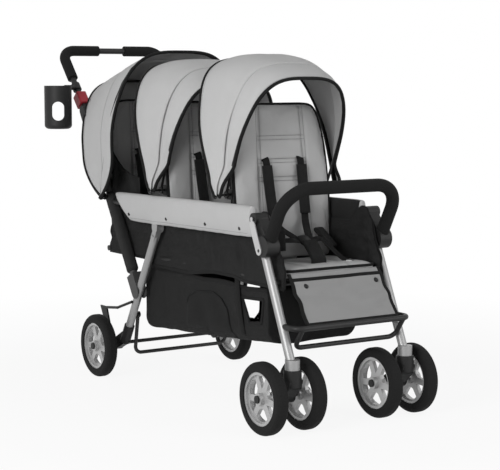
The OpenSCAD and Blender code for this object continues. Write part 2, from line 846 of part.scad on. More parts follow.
// Lower halves of the handle hinges, on the post tops
module hinge_bodies() color("#161618") both() difference() {
    union() {
        for (y = [lane - knuckle_half - side_gap - hinge_cheek_t, lane + knuckle_half + side_gap])
            tab_plate(-hinge_back, hinge_z, post_lean, hinge_cheek_r, hinge_drop, y, y + hinge_cheek_t);
        translate([-hinge_back, lane, hinge_z]) rotate([0, -post_lean, 0])
            translate([-hinge_block, -knuckle_half - hinge_cheek_t / 2, side_gap - hinge_drop])
            cube([2 * hinge_block, 2 * knuckle_half + hinge_cheek_t, hinge_drop - hinge_neck]);
        pin(-hinge_back, hinge_z, lane - knuckle_half - side_gap - hinge_cheek_t, lane + knuckle_half + side_gap + hinge_cheek_t, hinge_pin_r);
    }
    post_solid(post_r);
}

// Points along a handle arm
function arm(s) = [-hinge_back - s * sin(arm_lean), lane, hinge_z + s * cos(arm_lean)];

// Folding handle: push bar, both arms and their hinge eyes
module handle_tube() color("#1d1d1f") difference() {
    union() {
        across(-hinge_back, hinge_z, -arm_lean) u_bar(lane, arm_len, handle_bend, handle_r, handle_r - leg_wall, tube_start);
        both() tab_plate(-hinge_back, hinge_z, 180 + arm_lean, hinge_eye_r, tongue, lane - knuckle_half, lane + knuckle_half);
        both() rod(arm(hinge_cheek_r + side_gap), arm(neck_stop), neck_r);
    }
    both() pin(-hinge_back, hinge_z, lane - leg_d, lane + leg_d, hinge_pin_r + run_gap);
}

// Foam grips from the bare middle of the push bar down both arms
module handle_grips() color("#1a1a1c") difference() {
    across(-hinge_back, hinge_z, -arm_lean) u_bar(lane, arm_len, handle_bend, grip_r, 0, grip_start);
    across(-hinge_back, hinge_z, -arm_lean) u_bar(lane, arm_len, handle_bend, handle_r, 0, grip_start - over);
    translate([-bar_back - grip_d, -bare_len / 2, push_z - grip_d]) cube([2 * grip_d, bare_len, 2 * grip_d]);
}

// Red release collars that slide on the arms above the hinges
module release(s) color("#b3202a") difference() {
    translate([-hinge_back, s * lane, hinge_z]) rotate([0, -arm_lean, 0]) translate([0, 0, collar_start]) linear_extrude(collar_len) {
        square([collar_w - 2 * collar_round, collar_t], center = true);
        square([collar_w, collar_t - 2 * collar_round], center = true);
        for (a = [-1, 1], b = [-1, 1]) translate([a * (collar_w / 2 - collar_round), b * (collar_t / 2 - collar_round)]) circle(collar_round);
    }
    translate([-hinge_back, s * lane, hinge_z]) rotate([0, -arm_lean, 0]) cylinder(r = handle_r + run_gap, h = arm_len);
}
module release_right() { release(-1); }
module release_left() { release(1); }

// Cup holder on the right arm
module cup_holder() color("#1d1d1f") translate([-cup_back, -cup_out, cup_top - cup_h]) difference() {
    rotate_extrude() difference() {
        union() {
            translate([0, cup_round]) square([cup_r, cup_h - cup_round]);
            square([cup_r - cup_round, cup_round]);
            translate([cup_r - cup_round, cup_round]) circle(cup_round);
        }
        translate([-cup_r * 2, -cup_round]) square([cup_r * 2, cup_h * 2]);
    }
    translate([0, 0, cup_floor]) cylinder(r = cup_bore / 2, h = cup_h);
    rotate([0, 0, window_turn]) translate([-cup_r * 2, 0, window_low + window_w / 2]) rotate([0, 90, 0]) linear_extrude(cup_r * 4) {
        circle(window_w / 2);
        translate([-(window_h - window_w), 0]) circle(window_w / 2);
        translate([-(window_h - window_w), -window_w / 2]) square([window_h - window_w, window_w]);
    }
}

// Clip that holds the cup holder on the arm
module cup_clip() color("#1d1d1f") mirror([0, 1, 0]) difference() {
    a = arm(clip_start);
    b = arm(clip_start + clip_len);
    m = arm(clip_mid);
    c = [-cup_back, cup_out, m[2]];
    d = (c - m) / norm(c - m);
    union() {
        rod(a, b, handle_r + clip_wall);
        rod(m, c - (cup_r - clip_bite) * d, clip_arm_r);
    }
    rod(arm(clip_start - over), arm(clip_start + clip_len + over), handle_r);
}

// Seat frame: side tubes, cross tubes and the tail behind the posts
module seat_tubes(r) {
    both() rod([-seat_tail, seat_tube_y, seat_tube_z], [front_leg_x(seat_tube_z), seat_tube_y, seat_tube_z], r);
}

module cross_tube(x, half, r) { pin(x, seat_tube_z, -half, half, r); }

module seat_frame() color("#2a2a2c") difference() {
    union() {
        seat_tubes(seat_tube_r);
        cross_tube(front_leg_x(seat_tube_z), front_lane, seat_tube_r);
        cross_tube(post_x(seat_tube_z), lane, seat_tube_r);
        cross_tube(-seat_tail, seat_tube_y + seat_tube_r, seat_tube_r);
        for (i = [0, 1]) cross_tube(corner_x(i), seat_tube_y, seat_tube_r);
    }
    both() front_leg_solid(leg_r);
    both() post_solid(post_r);
}

// Seat back frames: an upturned U behind each back
module seat_back_frames() color("#2a2a2c") difference() {
    for (i = [0 : 2]) across(hoop_x(i, seat_tube_z), seat_tube_z, -recline)
        u_bar(hoop_lane, (back_h + seat_z - seat_tube_z) / cos(recline), hoop_bend, hoop_r, hoop_r - hoop_wall, 0);
    seat_tubes(seat_tube_r);
}

// Rounded pad in its own plane: x across, y along, z out
function pad_edge(u, half, tuck) = half - tuck * pow(abs(u), 6);
function pad_out(u, v, t, crown) = t + crown * (1 - pow(abs(u), 4)) * (1 - pow(abs(v), 4))
    - pad_channel * exp(-pow((abs(u) - channel_share) / channel_w_share, 2)) * (1 - pow(abs(v), 6));
function pad_taper(v, knee, top) = 1 - (1 - top) * max(0, (v - knee) / (1 - knee));
module pad(half, len, t, crown, knee = 0, top = 1) {
    us = [for (i = [0 : pad_nu]) 2 * i / pad_nu - 1];
    vs = [for (j = [0 : pad_nv]) 2 * j / pad_nv - 1];
    skin([for (u = us, v = vs) [u * pad_edge(v, half, pad_tuck) * pad_taper(v, knee, top), len / 2 + v * (len / 2 - pad_tuck * pow(abs(u), 6)),
            pad_out(u, v, t, crown) - pad_tuck * max(pow(abs(u), 10), pow(abs(v), 10))]],
        [for (u = us, v = vs) [u * pad_edge(v, half, pad_tuck) * pad_taper(v, knee, top), len / 2 + v * (len / 2 - pad_tuck * pow(abs(u), 6)), 0]], pad_nu, pad_nv);
}

module seat_pan(i) color("#8e9093") translate([corner_x(i) + seat_depth, 0, seat_z - pan_t])
    rotate([0, 0, 90]) pad(seat_half, seat_depth - side_gap, pan_t - pan_crown, pan_crown);
module seat_pan_1() { seat_pan(0); }
module seat_pan_2() { seat_pan(1); }
module seat_pan_3() { seat_pan(2); }

module seat_back(i) color("#8e9093") translate([corner_x(i), 0, seat_z]) rotate([0, -recline, 0])
    translate([-back_t, 0, back_low]) rotate([90, 0, 90]) pad(seat_half, back_h - back_low, back_t - back_crown, back_crown, back_knee_share, back_top_share);
module seat_back_1() { seat_back(0); }
module seat_back_2() { seat_back(1); }
module seat_back_3() { seat_back(2); }

// Five-point harness on each seat: shoulder straps, lap belts, crotch strap and buckle
module ribbon(pts, t, y0, y1) {
    side_plate(concat(pts, [for (k = [len(pts) - 1 : -1 : 0]) pts[k] + [t, strap_drop_share * t]]), y0, y1);
}

module harnesses() color("#1a1a1c") for (i = [0 : 2]) translate([corner_x(i), 0, seat_z]) {
    top = back_h * strap_top_share;
    both() ribbon([[-top * tan(recline) - strap_sink, top], [buckle_x * strap_knee_shares[0], buckle_z * strap_knee_shares[1]], [buckle_x - buckle[0] * strap_knee_shares[0], buckle_z]],
        strap_t, strap_y - strap_w / 2, strap_y + strap_w / 2);
    translate([buckle_x - buckle[0] / 2, -strap_y - strap_w / 2, buckle_z - strap_t])
        cube([strap_t, 2 * strap_y + strap_w, belt_w]);
    translate([buckle_x - buckle[0] / 2, -buckle[1] / 2, buckle_z - buckle[2] / 2]) cube(buckle);
    ribbon([[buckle_x, buckle_z], [buckle_x + buckle[0], -strap_sink]], strap_t, -belt_w / 2, belt_w / 2);
    both() ribbon([[buckle_x * belt_shares[0], buckle_z + strap_t], [buckle_x * belt_shares[1], -strap_sink]], strap_t,
        seat_half * belt_out_share, seat_half * belt_out_share + belt_w);
    both() translate([buckle_x * belt_shares[0] - strap_t, strap_y, buckle_z - strap_t])
        cube([3 * strap_t, seat_half * belt_out_share + belt_w - strap_y, belt_w]);
}

// Cloth sides between the sleeves and the seat frame
module side_panels() color("#242427") both() {
    x1 = rail_front_x - rail_cap_r - sleeve_stop;
    side_plate([[-panel_tail, panel_low], [x1, panel_low],
        [x1, rail_z(x1) + sleeve_up - sleeve_h + panel_lap + sleeve_round],
        [panel_rear, rail_z(panel_rear) + sleeve_up - sleeve_h + panel_lap + sleeve_round], [-panel_tail, panel_low + panel_tail_up]], panel_y - cloth_t, panel_y);
}

// Calf panel: cloth from the first seat down to the footrest, with soft upright folds
calf_a = [seat_front + calf_t, seat_z - calf_top_drop];
calf_b = [footrest_x - footrest_r * calf_foot_share, footrest_z + footrest_r];
calf_d = (calf_b - calf_a) / norm(calf_b - calf_a);
function calf_at(u, v, off) = let (n = [-calf_d[1], calf_d[0]],
    p = calf_a + v * (calf_b - calf_a) + n * (off + calf_fold * sin(180 * v) * sin(180 * calf_waves * u))) [p[0], u * calf_half, p[1]];

module calf_panel() color("#8e9093") {
    us = [for (i = [0 : calf_nu]) 2 * i / calf_nu - 1];
    vs = [for (j = [0 : calf_nv]) j / calf_nv];
    skin([for (v = vs, u = us) calf_at(u, v, calf_t / 2)], [for (v = vs, u = us) calf_at(u, v, -calf_t / 2)], calf_nv, calf_nu);
}

// Footrest: a U tube carried by the front legs
module footrest_tube(r) {
    x0 = front_leg_x(footrest_z);
    translate([x0, 0, footrest_z]) rotate([0, 0, -90]) u_bar(front_lane, footrest_x - x0, footrest_bend, r, 0, 0);
}

module footrest() color("#1d1d1f") difference() {
    footrest_tube(footrest_r);
    both() front_leg_solid(leg_r);
}

module lower_front_bar() color("#1d1d1f") difference() {
    across(footrest_x, footrest_z, 180 + lower_lean) u_bar(lower_half, lower_rise, lower_bend, lower_r, 0, 0);
    footrest_tube(footrest_r);
}

// Basket: an open cloth tub with a sloping floor and an access window in each side
module basket_side(t) {
    back = (basket_top - basket_rear_z) * tan(basket_lean);
    polygon([[basket_rear + t, basket_rear_z + t], [basket_front - t, basket_front_z + t],
        [basket_front - t, basket_top + (t > 0 ? over : 0)], [basket_rear - back + t, basket_top + (t > 0 ? over : 0)]]);
}

// Window shares: from and to along the basket, then from and to up its rear height
module basket_window(y, w) {
    len = basket_front - basket_rear;
    tall = basket_top - basket_rear_z;
    translate([basket_rear + len * w[0], y, basket_rear_z + tall * w[2]])
        cube([len * (w[1] - w[0]), basket_half, tall * (w[3] - w[2])]);
}

module basket() color("#1f1f22") {
    difference() {
        translate([0, basket_half, 0]) rotate([90, 0, 0]) linear_extrude(2 * basket_half) basket_side(0);
        translate([0, basket_half - cloth_t, 0]) rotate([90, 0, 0]) linear_extrude(2 * (basket_half - cloth_t)) basket_side(cloth_t);
        basket_window(-1.5 * basket_half, window_right);
        basket_window(0.5 * basket_half, window_left);
    }
    both() for (k = tab_shares)
        translate([basket_rear + k * (basket_front - basket_rear) - tab_w / 2, basket_half - cloth_t, basket_top - tab_w / 2])
            cube([tab_w, cloth_t, seat_tube_z - seat_tube_r * tab_bite_share - basket_top + tab_w / 2]);
}

// Hoods: arches that turn about pivots at the seat sides
function arch_r(w, h, f) = pow(pow(abs(cos(f)) / w, hood_n) + pow(abs(sin(f)) / h, hood_n), -1 / hood_n);
function arch(w, h, f) = let (r = arch_r(w, h, f), up = r * sin(f))
    [-r * cos(f) * (base_share + (1 - base_share) * min(1, 2 * up / h)), up];
function mixed(a, b, k) = a + (b - a) * k;
function hood_pt(i, lean, f, off) = let (k = (lean - lean_f[i]) / (lean_r[i] - lean_f[i]),
    p = arch(mixed(w_f[i], w_r[i], k) + off, mixed(h_f[i], h_r[i], k) + off, f))
    [hood_x[i] + p[1] * sin(lean), p[0], hood_z[i] + p[1] * cos(lean)];
function split(i) = mixed(lean_f[i], lean_r[i], split_share);
function arc_steps(n, low) = [for (j = [0 : n]) low + (180 - 2 * low) * j / n];

module hood_sheet(i, l0, l1, steps, off) {
    fs = arc_steps(hood_nv, hood_low);
    ls = [for (k = [0 : steps]) mixed(l0, l1, k / steps)];
    skin([for (l = ls, f = fs) hood_pt(i, l, f, off + hood_t / 2)], [for (l = ls, f = fs) hood_pt(i, l, f, off - hood_t / 2)], steps, hood_nv);
}

// The front sheet of hoods one and two slides under the rear sheet; on hood three it slides over it
function front_off(i) = i == 2 ? nest : 0;
function rear_off(i) = i == 2 ? 0 : nest;

module hood_front(i) color("#c3c4c6") hood_sheet(i, lean_f[i], split(i) - overlap_deg, front_steps, front_off(i));
module hood_front_1() { hood_front(0); }
module hood_front_2() { hood_front(1); }
module hood_front_3() { hood_front(2); }

module hood_rear(i) color("#c3c4c6") difference() {
    hood_sheet(i, split(i), lean_r[i], rear_steps, rear_off(i));
    if (i == 2) both() post_solid(post_r + free_gap * 3);
}
module hood_rear_1() { hood_rear(0); }
module hood_rear_2() { hood_rear(1); }
module hood_rear_3() { hood_rear(2); }

// A round bow along an arch, with an eye at each pivot
module bow(i, lean, w, h) {
    fs = arc_steps(bow_nv, asin(bow_stub / w));
    pts = [for (f = fs) arch(w, h, f)];
    translate([hood_x[i], 0, hood_z[i]]) rotate([0, lean, 0]) {
        loops = [for (j = [0 : bow_nv]) let (a = pts[max(0, j - 1)], b = pts[min(bow_nv, j + 1)], d = (b - a) / norm(b - a))
            for (k = [0 : bow_sides - 1]) let (q = 360 * k / bow_sides)
                [bow_r * sin(q), pts[j][0] - d[1] * bow_r * cos(q), pts[j][1] + d[0] * bow_r * cos(q)]];
        n = bow_sides;
        polyhedron(points = loops, convexity = 8, faces = concat(
            [[for (k = [0 : n - 1]) k]], [[for (k = [n - 1 : -1 : 0]) bow_nv * n + k]],
            [for (j = [0 : bow_nv - 1], k = [0 : n - 1]) each [
                [j * n + k, (j + 1) * n + (k + 1) % n, j * n + (k + 1) % n], [j * n + k, (j + 1) * n + k, (j + 1) * n + (k + 1) % n]]]));
        both() difference() {
            pin(0, 0, w * base_share - disc_half, w * base_share + disc_half, disc_r);
            pin(0, 0, w * base_share - disc_r, w * base_share + disc_r, hood_pin_r + run_gap);
        }
    }
}

module front_bow(i) color("#1d1d1f") bow(i, lean_f[i], w_f[i] + front_off(i), h_f[i] + front_off(i));
module front_bow_1() { front_bow(0); }
module front_bow_2() { front_bow(1); }
module front_bow_3() { front_bow(2); }

module rear_bows() color("#1d1d1f") for (i = [0 : 2]) bow(i, lean_r[i], w_r[i] + rear_off(i), h_r[i] + rear_off(i));

// Pivot pins, clamped on the seat back frames and, for hood three, on the posts
module hood_pivots() color("#161618") both() difference() {
    union() {
        for (i = [0, 1]) {
            pin(hood_x[i], hood_z[i], hoop_lane, w_r[i] * base_share + nest + 2 * disc_half, hood_pin_r);
            translate([hood_x[i] - clamp_half, hoop_lane, hood_z[i] - clamp_half])
                cube([clamp_half + hood_back + hoop_r * clamp_front_share, hoop_r * clamp_share, 2 * clamp_half]);
        }
        pin(hood_x[2], hood_z[2], lane, w_f[2] * base_share + nest + 2 * disc_half, hood_pin_r);
    }
    for (i = [0, 1]) translate([hoop_x(i, hood_z[i]), hoop_lane, hood_z[i]]) rotate([0, -recline, 0])
        translate([0, 0, -clamp_half * 2]) cylinder(r = hoop_r, h = clamp_half * 4);
    post_solid(post_r);
}

upper_rails();
rail_sleeves();
front_legs();
front_hubs();
hub_links();
front_bar();
seat_frame();
seat_back_frames();
seat_pan_1();
seat_pan_2();
seat_pan_3();
seat_back_1();
seat_back_2();
seat_back_3();
harnesses();
side_panels();
calf_panel();
footrest();
lower_front_bar();
basket();
hood_rear_1();
hood_rear_2();
hood_rear_3();
rear_bows();
hood_pivots();
handle_posts();
rail_brackets();
hinge_bodies();
rear_leg_tubes();
rear_axle();
axle_brackets();
brake_bar();
handle_tube();
handle_grips();
cup_holder();
cup_clip();
release_right();
release_left();
caster_fork_right();
caster_fork_left();
front_axle_right();
front_axle_left();
rim_rear_right();
rim_rear_left();
rim_front_right_outer();
rim_front_right_inner();
rim_front_left_inner();
rim_front_left_outer();
tyre_rear_right();
tyre_rear_left();
tyre_front_right_outer();
tyre_front_right_inner();
tyre_front_left_inner();
tyre_front_left_outer();
hood_front_1();
hood_front_2();
hood_front_3();
front_bow_1();
front_bow_2();
front_bow_3();
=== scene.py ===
import math
import bmesh
import bpy
from mathutils import Matrix, Vector, noise


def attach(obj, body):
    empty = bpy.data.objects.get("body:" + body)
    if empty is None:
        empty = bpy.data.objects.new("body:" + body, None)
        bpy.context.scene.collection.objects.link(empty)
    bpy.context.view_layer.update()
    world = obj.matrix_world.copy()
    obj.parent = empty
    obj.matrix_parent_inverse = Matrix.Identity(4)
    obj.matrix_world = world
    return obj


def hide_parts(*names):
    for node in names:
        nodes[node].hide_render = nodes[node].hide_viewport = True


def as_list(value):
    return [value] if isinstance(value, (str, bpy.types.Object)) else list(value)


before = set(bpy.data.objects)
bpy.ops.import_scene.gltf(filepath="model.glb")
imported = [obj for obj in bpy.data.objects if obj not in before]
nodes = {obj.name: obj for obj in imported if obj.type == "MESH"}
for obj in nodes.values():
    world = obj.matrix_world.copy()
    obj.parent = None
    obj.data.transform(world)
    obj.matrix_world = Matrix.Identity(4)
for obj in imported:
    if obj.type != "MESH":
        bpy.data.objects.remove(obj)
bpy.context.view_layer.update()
scene = bpy.context.scene
hands = {"right": -1, "left": 1}   # sign of y on each side
print("frame loaded:", len(nodes), "nodes")


# a node's output as a number: a + b, 1 - a and so on add Math nodes
class Wire:
    def __init__(self, bench, out):
        self.bench, self.out = bench, out

    def math(self, operation, first, second=None):
        return self.bench.add("ShaderNodeMath", {"operation": operation}, {0: first, 1: second})["Value"]

    def __add__(self, other): return self.math("ADD", self, other)
    def __radd__(self, other): return self.math("ADD", other, self)
    def __sub__(self, other): return self.math("SUBTRACT", self, other)
    def __rsub__(self, other): return self.math("SUBTRACT", other, self)
    def __mul__(self, other): return self.math("MULTIPLY", self, other)
    def __rmul__(self, other): return self.math("MULTIPLY", other, self)
    def __truediv__(self, other): return self.math("DIVIDE", self, other)
    def __rtruediv__(self, other): return self.math("DIVIDE", other, self)
    def __pow__(self, other): return self.math("POWER", self, other)
    def __rpow__(self, other): return self.math("POWER", other, self)
    def sin(self): return self.math("SINE", self)
    def size(self): return self.math("ABSOLUTE", self)
    def above(self, limit): return self.math("GREATER_THAN", self, limit)
    def most(self, other): return self.math("MAXIMUM", self, other)
    def least(self, other): return self.math("MINIMUM", self, other)
    def angleTo(self, other): return self.math("ARCTAN2", self, other)


class Made:
    def __init__(self, bench, node):
        self.bench, self.node = bench, node

    def __getitem__(self, key):
        return Wire(self.bench, self.node.outputs[key])


# the node tree of a material, of the world or of Geometry Nodes; add() makes every node
class Bench:
    def __init__(self, owner):
        self.owner = self.tree = owner
        if not isinstance(owner, bpy.types.NodeTree):
            owner.use_nodes = True
            self.tree = owner.node_tree
        self.tree.nodes.clear()

    def add(self, kind, settings=None, inputs=None):
        node = self.tree.nodes.new(kind)
        for key, value in (settings or {}).items():
            setattr(node, key, value)
        for key, value in (inputs or {}).items():
            for one in value if isinstance(value, list) else [value]:
                if isinstance(one, Wire):
                    self.tree.links.new(one.out, node.inputs[key])
                elif one is not None:
                    node.inputs[key].default_value = one
        return Made(self, node)

    def place(self, kind="Object"):
        return self.add("ShaderNodeTexCoord")[kind]

    def parts(self, vector):
        made = self.add("ShaderNodeSeparateXYZ", {}, {0: vector})
        return made["X"], made["Y"], made["Z"]

    def cloud(self, vector, scale, detail=3.0, rough=0.55):
        values = {"Vector": vector, "Scale": scale, "Detail": detail, "Roughness": rough}
        return self.add("ShaderNodeTexNoise", {}, values)["Fac"]

    def blend(self, share, first, second):
        return self.add("ShaderNodeMix", {"data_type": "RGBA"}, {0: share, 6: first, 7: second})[2]

    def tinted(self, share, colour, dark, pale):
        return self.blend(share, shade(colour, dark), shade(colour, pale))

    def bump(self, height, strength, depth):
        return self.add("ShaderNodeBump", {}, {"Height": height, "Strength": strength, "Distance": depth})["Normal"]

    def done(self, **sockets):
        names = {"colour": "Base Color", "rough": "Roughness", "metal": "Metallic", "normal": "Normal",
                 "sheen": "Sheen Weight", "sheenRough": "Sheen Roughness", "coat": "Coat Weight",
                 "specular": "Specular IOR Level"}
        shader = self.add("ShaderNodeBsdfPrincipled", {}, {names[k]: v for k, v in sockets.items()})["BSDF"]
        self.add("ShaderNodeOutputMaterial", {}, {"Surface": shader})
        return self.owner


def tone(value):
    # a grey given as it should look on screen, turned to linear
    linear = value / 12.92 if value <= 0.04045 else ((value + 0.055) / 1.055) ** 2.4
    return (linear, linear, linear, 1.0)


def shade(colour, factor):
    return tuple(min(1.0, c * factor) for c in colour[:3]) + (1.0,)


def newBench(name):
    b = Bench(bpy.data.materials.new(name))
    return b, b.place()


# woven cloth: yarns run along the piece's own UV map, which is in metres
def clothFinish(name, colour, yarn, crease, creaseScale, bump, sheen, depth=0.0012, specular=0.25, vary=0.12):
    b, spot = newBench(name)
    u, v, _ = b.parts(b.place("UV"))
    step = math.pi / yarn
    warp, weft = (u * step).sin(), (v * step).sin()
    over = (warp * weft).above(0.0)
    weave = warp.size() * over + weft.size() * (1 - over)
    slub, broad, soft = b.cloud(spot, 420.0, 2.0), b.cloud(spot, 9.0, 4.0), b.cloud(spot, creaseScale)
    # the colour also follows the crease noise that raises the folds: painted highlight on their ridges and painted
    # shade in their hollows, beside a real random tone from slub, mottle and weave
    tint = b.tinted(broad * 0.4 + soft * 0.2 + slub * 0.25 + weave * 0.15, colour, 1 - vary, 1 + vary)
    normal = b.bump(weave * 0.5 + slub * 0.25 + soft * crease, bump, depth)
    return b.done(colour=tint, rough=0.82 + slub * 0.14, normal=normal, sheen=sheen, sheenRough=0.5,
                  specular=specular)


# straps and bindings: ribs across the tape, a darker line along both edges
def tapeFinish(name, colour, rib, width):
    b, spot = newBench(name)
    u, v, _ = b.parts(b.place("UV"))
    ribs = (v * (math.pi / rib)).sin().size()
    grain = b.cloud(spot, 600.0, 2.0)
    edge = ((u / width - 0.5).size() * 2.0) ** 8.0
    tint = b.tinted(ribs * 0.5 + grain * 0.5, colour, 0.7, 1.35)
    tint = b.blend(edge * 0.5, tint, shade(colour, 0.6))
    normal = b.bump(ribs * 0.6 + grain * 0.4, 0.5, 0.0008)
    return b.done(colour=tint, rough=0.62 + grain * 0.2, normal=normal, sheen=0.02, sheenRough=0.5, specular=0.12)


def plasticFinish(name, colour, grain, bump, rough):
    b, spot = newBench(name)
    smudge = b.cloud(spot, 18.0, 4.0)
    normal = b.bump(b.cloud(spot, grain), bump, 0.0006)
    return b.done(colour=b.tinted(smudge, colour, 0.82, 1.22), rough=rough + smudge * 0.16, normal=normal,
                  specular=0.28)


def foamFinish(name, colour):
    b, spot = newBench(name)
    cells = b.add("ShaderNodeTexVoronoi", {}, {"Vector": spot, "Scale": 900.0})["Distance"]
    worn = b.cloud(spot, 14.0, 4.0)
    normal = b.bump(cells + worn * 0.4, 0.35, 0.0007)
    return b.done(colour=b.tinted(worn, colour, 0.8, 1.3), rough=0.78 + worn * 0.12, normal=normal, specular=0.15)


# drawn tube with a satin coat: fine lines along the tube and faint wear
def tubeFinish(name, colour, metal, rough, coat, lines, specular=0.5):
    b, spot = newBench(name)
    drawn = b.cloud(b.add("ShaderNodeMapping", {}, {"Vector": spot, "Scale": lines})["Vector"], 1.0, 2.0)
    worn = b.cloud(spot, 30.0, 5.0, 0.6)
    tint = b.tinted(worn * 0.7 + drawn * 0.3, colour, 0.88, 1.1)
    return b.done(colour=tint, metal=metal, rough=rough + worn * 0.12 + drawn * 0.06,
                  normal=b.bump(drawn, 0.12, 0.0003), coat=coat, specular=specular)


# tyre: block tread round the running face, smooth walls, worked out from the wheel's own axle
def tyreFinish(name, axle, colour=tone(0.105), wall=0.098, ring=0.092, blocks=44.0):
    b, spot = newBench(name)
    x, _, z = b.parts(spot)
    dx, dz = x - axle[0], z - axle[1]
    radius = (dx * dx + dz * dz) ** 0.5
    sipes = (dx.angleTo(dz) * blocks).sin().above(0.82)
    line = ((radius - ring) * 2200.0).size().least(1.0)
    dust = b.cloud(spot, 60.0, 5.0)
    height = (1 - sipes * radius.above(wall)) * 0.8 + line * 0.4 + dust * 0.15
    return b.done(colour=b.tinted(dust, colour, 0.75, 1.35), rough=0.72 + dust * 0.18,
                  normal=b.bump(height, 0.7, 0.0014), specular=0.16)


def rimFinish(name, colour):
    b, spot = newBench(name)
    flake, dull = b.cloud(spot, 1400.0, 2.0), b.cloud(spot, 22.0, 4.0)
    return b.done(colour=b.tinted(dull * 0.6 + flake * 0.4, colour, 0.86, 1.08), metal=0.35,
                  rough=0.34 + dull * 0.14, normal=b.bump(flake, 0.06, 0.0003), coat=0.25)


upright = (300.0, 300.0, 12.0)   # drawn lines run along z
finishes = {
    "hood": clothFinish("hood_cloth", tone(0.745), yarn=0.0013, crease=2.2, creaseScale=20.0, bump=0.4, sheen=0.10,
                        depth=0.002),
    "lining": clothFinish("hood_lining", tone(0.65), yarn=0.0013, crease=1.2, creaseScale=22.0, bump=0.3, sheen=0.08),
    "seat": clothFinish("seat_cloth", tone(0.69), yarn=0.0015, crease=1.8, creaseScale=34.0, bump=0.4, sheen=0.12),
    "calf": clothFinish("calf_cloth", tone(0.60), yarn=0.0015, crease=2.4, creaseScale=24.0, bump=0.5, sheen=0.12,
                        depth=0.003),
    # black cloth: its wide tone spread (vary) paints highlights and shade on the folds as well as a real mottle
    "black": clothFinish("black_cloth", tone(0.095), yarn=0.0016, crease=3.2, creaseScale=22.0, bump=0.8, sheen=0.05,
                         depth=0.006, specular=0.2, vary=0.6),
    "cover": clothFinish("cover_cloth", tone(0.17), yarn=0.0016, crease=3.0, creaseScale=30.0, bump=0.6, sheen=0.04,
                         depth=0.002, specular=0.1),
    "net": clothFinish("pocket_cloth", tone(0.125), yarn=0.0022, crease=1.4, creaseScale=16.0, bump=0.5, sheen=0.04,
                       specular=0.1),
    "piping": tapeFinish("black_binding", tone(0.075), rib=0.0014, width=0.02),
    "web": tapeFinish("strap_webbing", tone(0.075), rib=0.0016, width=0.03),
    "thread": plasticFinish("stitch_thread", tone(0.50), grain=900.0, bump=0.3, rough=0.7),
    "darkThread": plasticFinish("dark_thread", tone(0.30), grain=900.0, bump=0.3, rough=0.7),
    "plastic": plasticFinish("black_moulding", tone(0.10), grain=700.0, bump=0.16, rough=0.44),
    "gloss": plasticFinish("buckle_moulding", tone(0.09), grain=500.0, bump=0.06, rough=0.3),
    "red": plasticFinish("red_moulding", (0.36, 0.028, 0.04, 1.0), grain=500.0, bump=0.08, rough=0.34),
    "foam": foamFinish("foam_sleeve", tone(0.095)),
    "blackTube": tubeFinish("black_tube", tone(0.09), metal=0.0, rough=0.42, coat=0.05, lines=upright, specular=0.3),
    "post": tubeFinish("grey_tube", tone(0.26), metal=0.1, rough=0.45, coat=0.05, lines=upright, specular=0.25),
    "silver": tubeFinish("silver_tube", tone(0.60), metal=0.55, rough=0.36, coat=0.1, lines=(320.0, 320.0, 10.0)),
    "steel": tubeFinish("bright_steel", tone(0.76), metal=0.8, rough=0.3, coat=0.0, lines=(60.0, 400.0, 60.0)),
    "rim": rimFinish("rim_paint", tone(0.70)),
    "tyreRear": tyreFinish("tyre_rear", (0.0, 0.1035)),
    "tyreFront": tyreFinish("tyre_front", (0.983, 0.1035)),
}
print("finishes:", len(finishes))

wearsFinish = {
    "blackTube": ["upper_rails", "seat_frame", "seat_back_frames", "footrest", "lower_front_bar", "brake_bar",
                  "handle_tube", "rear_bows", "front_bow_1", "front_bow_2", "front_bow_3"],
    "post": ["handle_posts"],
    "silver": ["front_legs", "rear_leg_tubes", "rail_brackets"],
    "steel": ["hub_links"],
    "plastic": ["front_hubs", "hinge_bodies", "hood_pivots", "axle_brackets", "cup_holder", "cup_clip",
                "caster_fork_right", "caster_fork_left", "rear_axle", "front_axle_right", "front_axle_left"],
    "foam": ["front_bar", "handle_grips"],
    "red": ["release_right", "release_left"],
    "rim": [name for name in nodes if name.startswith("rim_")],
    "tyreRear": [name for name in nodes if name.startswith("tyre_") and "rear" in name],
    "tyreFront": [name for name in nodes if name.startswith("tyre_") and "rear" not in name],
}
for finish, names in wearsFinish.items():
    for name in names:
        nodes[name].data.materials.clear()
        nodes[name].data.materials.append(finishes[finish])


# number helpers
def lerp(a, b, k):
    return a + (b - a) * k


def clamped(value):
    return min(1.0, max(0.0, value))


def ease(at, start, stop):
    t = clamped((at - start) / (stop - start))
    return t * t * (3 - 2 * t)


def between(table, at):
    # a value from a table of (place, value) pairs, straight between them
    for (a, va), (b, vb) in zip(table, table[1:]):
        if at <= b:
            return lerp(va, vb, max(0.0, (at - a) / (b - a)))
    return table[-1][1]


def bowed(value, power):
    return math.copysign(abs(value) ** power, value)


def wobble(*place):
    return noise.noise(Vector(place))


def turns(count):
    # angle, cosine and sine at even steps round a circle
    return [(a, math.cos(a), math.sin(a)) for a in (2 * math.pi * k / count for k in range(count))]


# mesh helpers
def linked(name, mesh):
    piece = bpy.data.objects.new(name, mesh)
    scene.collection.objects.link(piece)
    return piece


def removed(piece):
    mesh = piece.data
    bpy.data.objects.remove(piece)
    bpy.data.meshes.remove(mesh)


def reshaped(piece, *steps):
    shell = bmesh.new()
    shell.from_mesh(piece.data)
    for step in steps:
        step(shell)
    shell.to_mesh(piece.data)
    shell.free()
    return piece


def faceOut(shell):
    bmesh.ops.recalc_face_normals(shell, faces=shell.faces)


def turnFaces(shell):
    bmesh.ops.reverse_faces(shell, faces=shell.faces)


def dropLoose(shell):
    bmesh.ops.delete(shell, geom=[v for v in shell.verts if not v.link_faces], context="VERTS")


def giveUv(mesh, uvs):
    layer = mesh.uv_layers.new(name="UVMap")
    for loop in mesh.loops:
        layer.data[loop.index].uv = uvs[loop.vertex_index]


def makeSmooth(mesh):
    mesh.polygons.foreach_set("use_smooth", [True] * len(mesh.polygons))


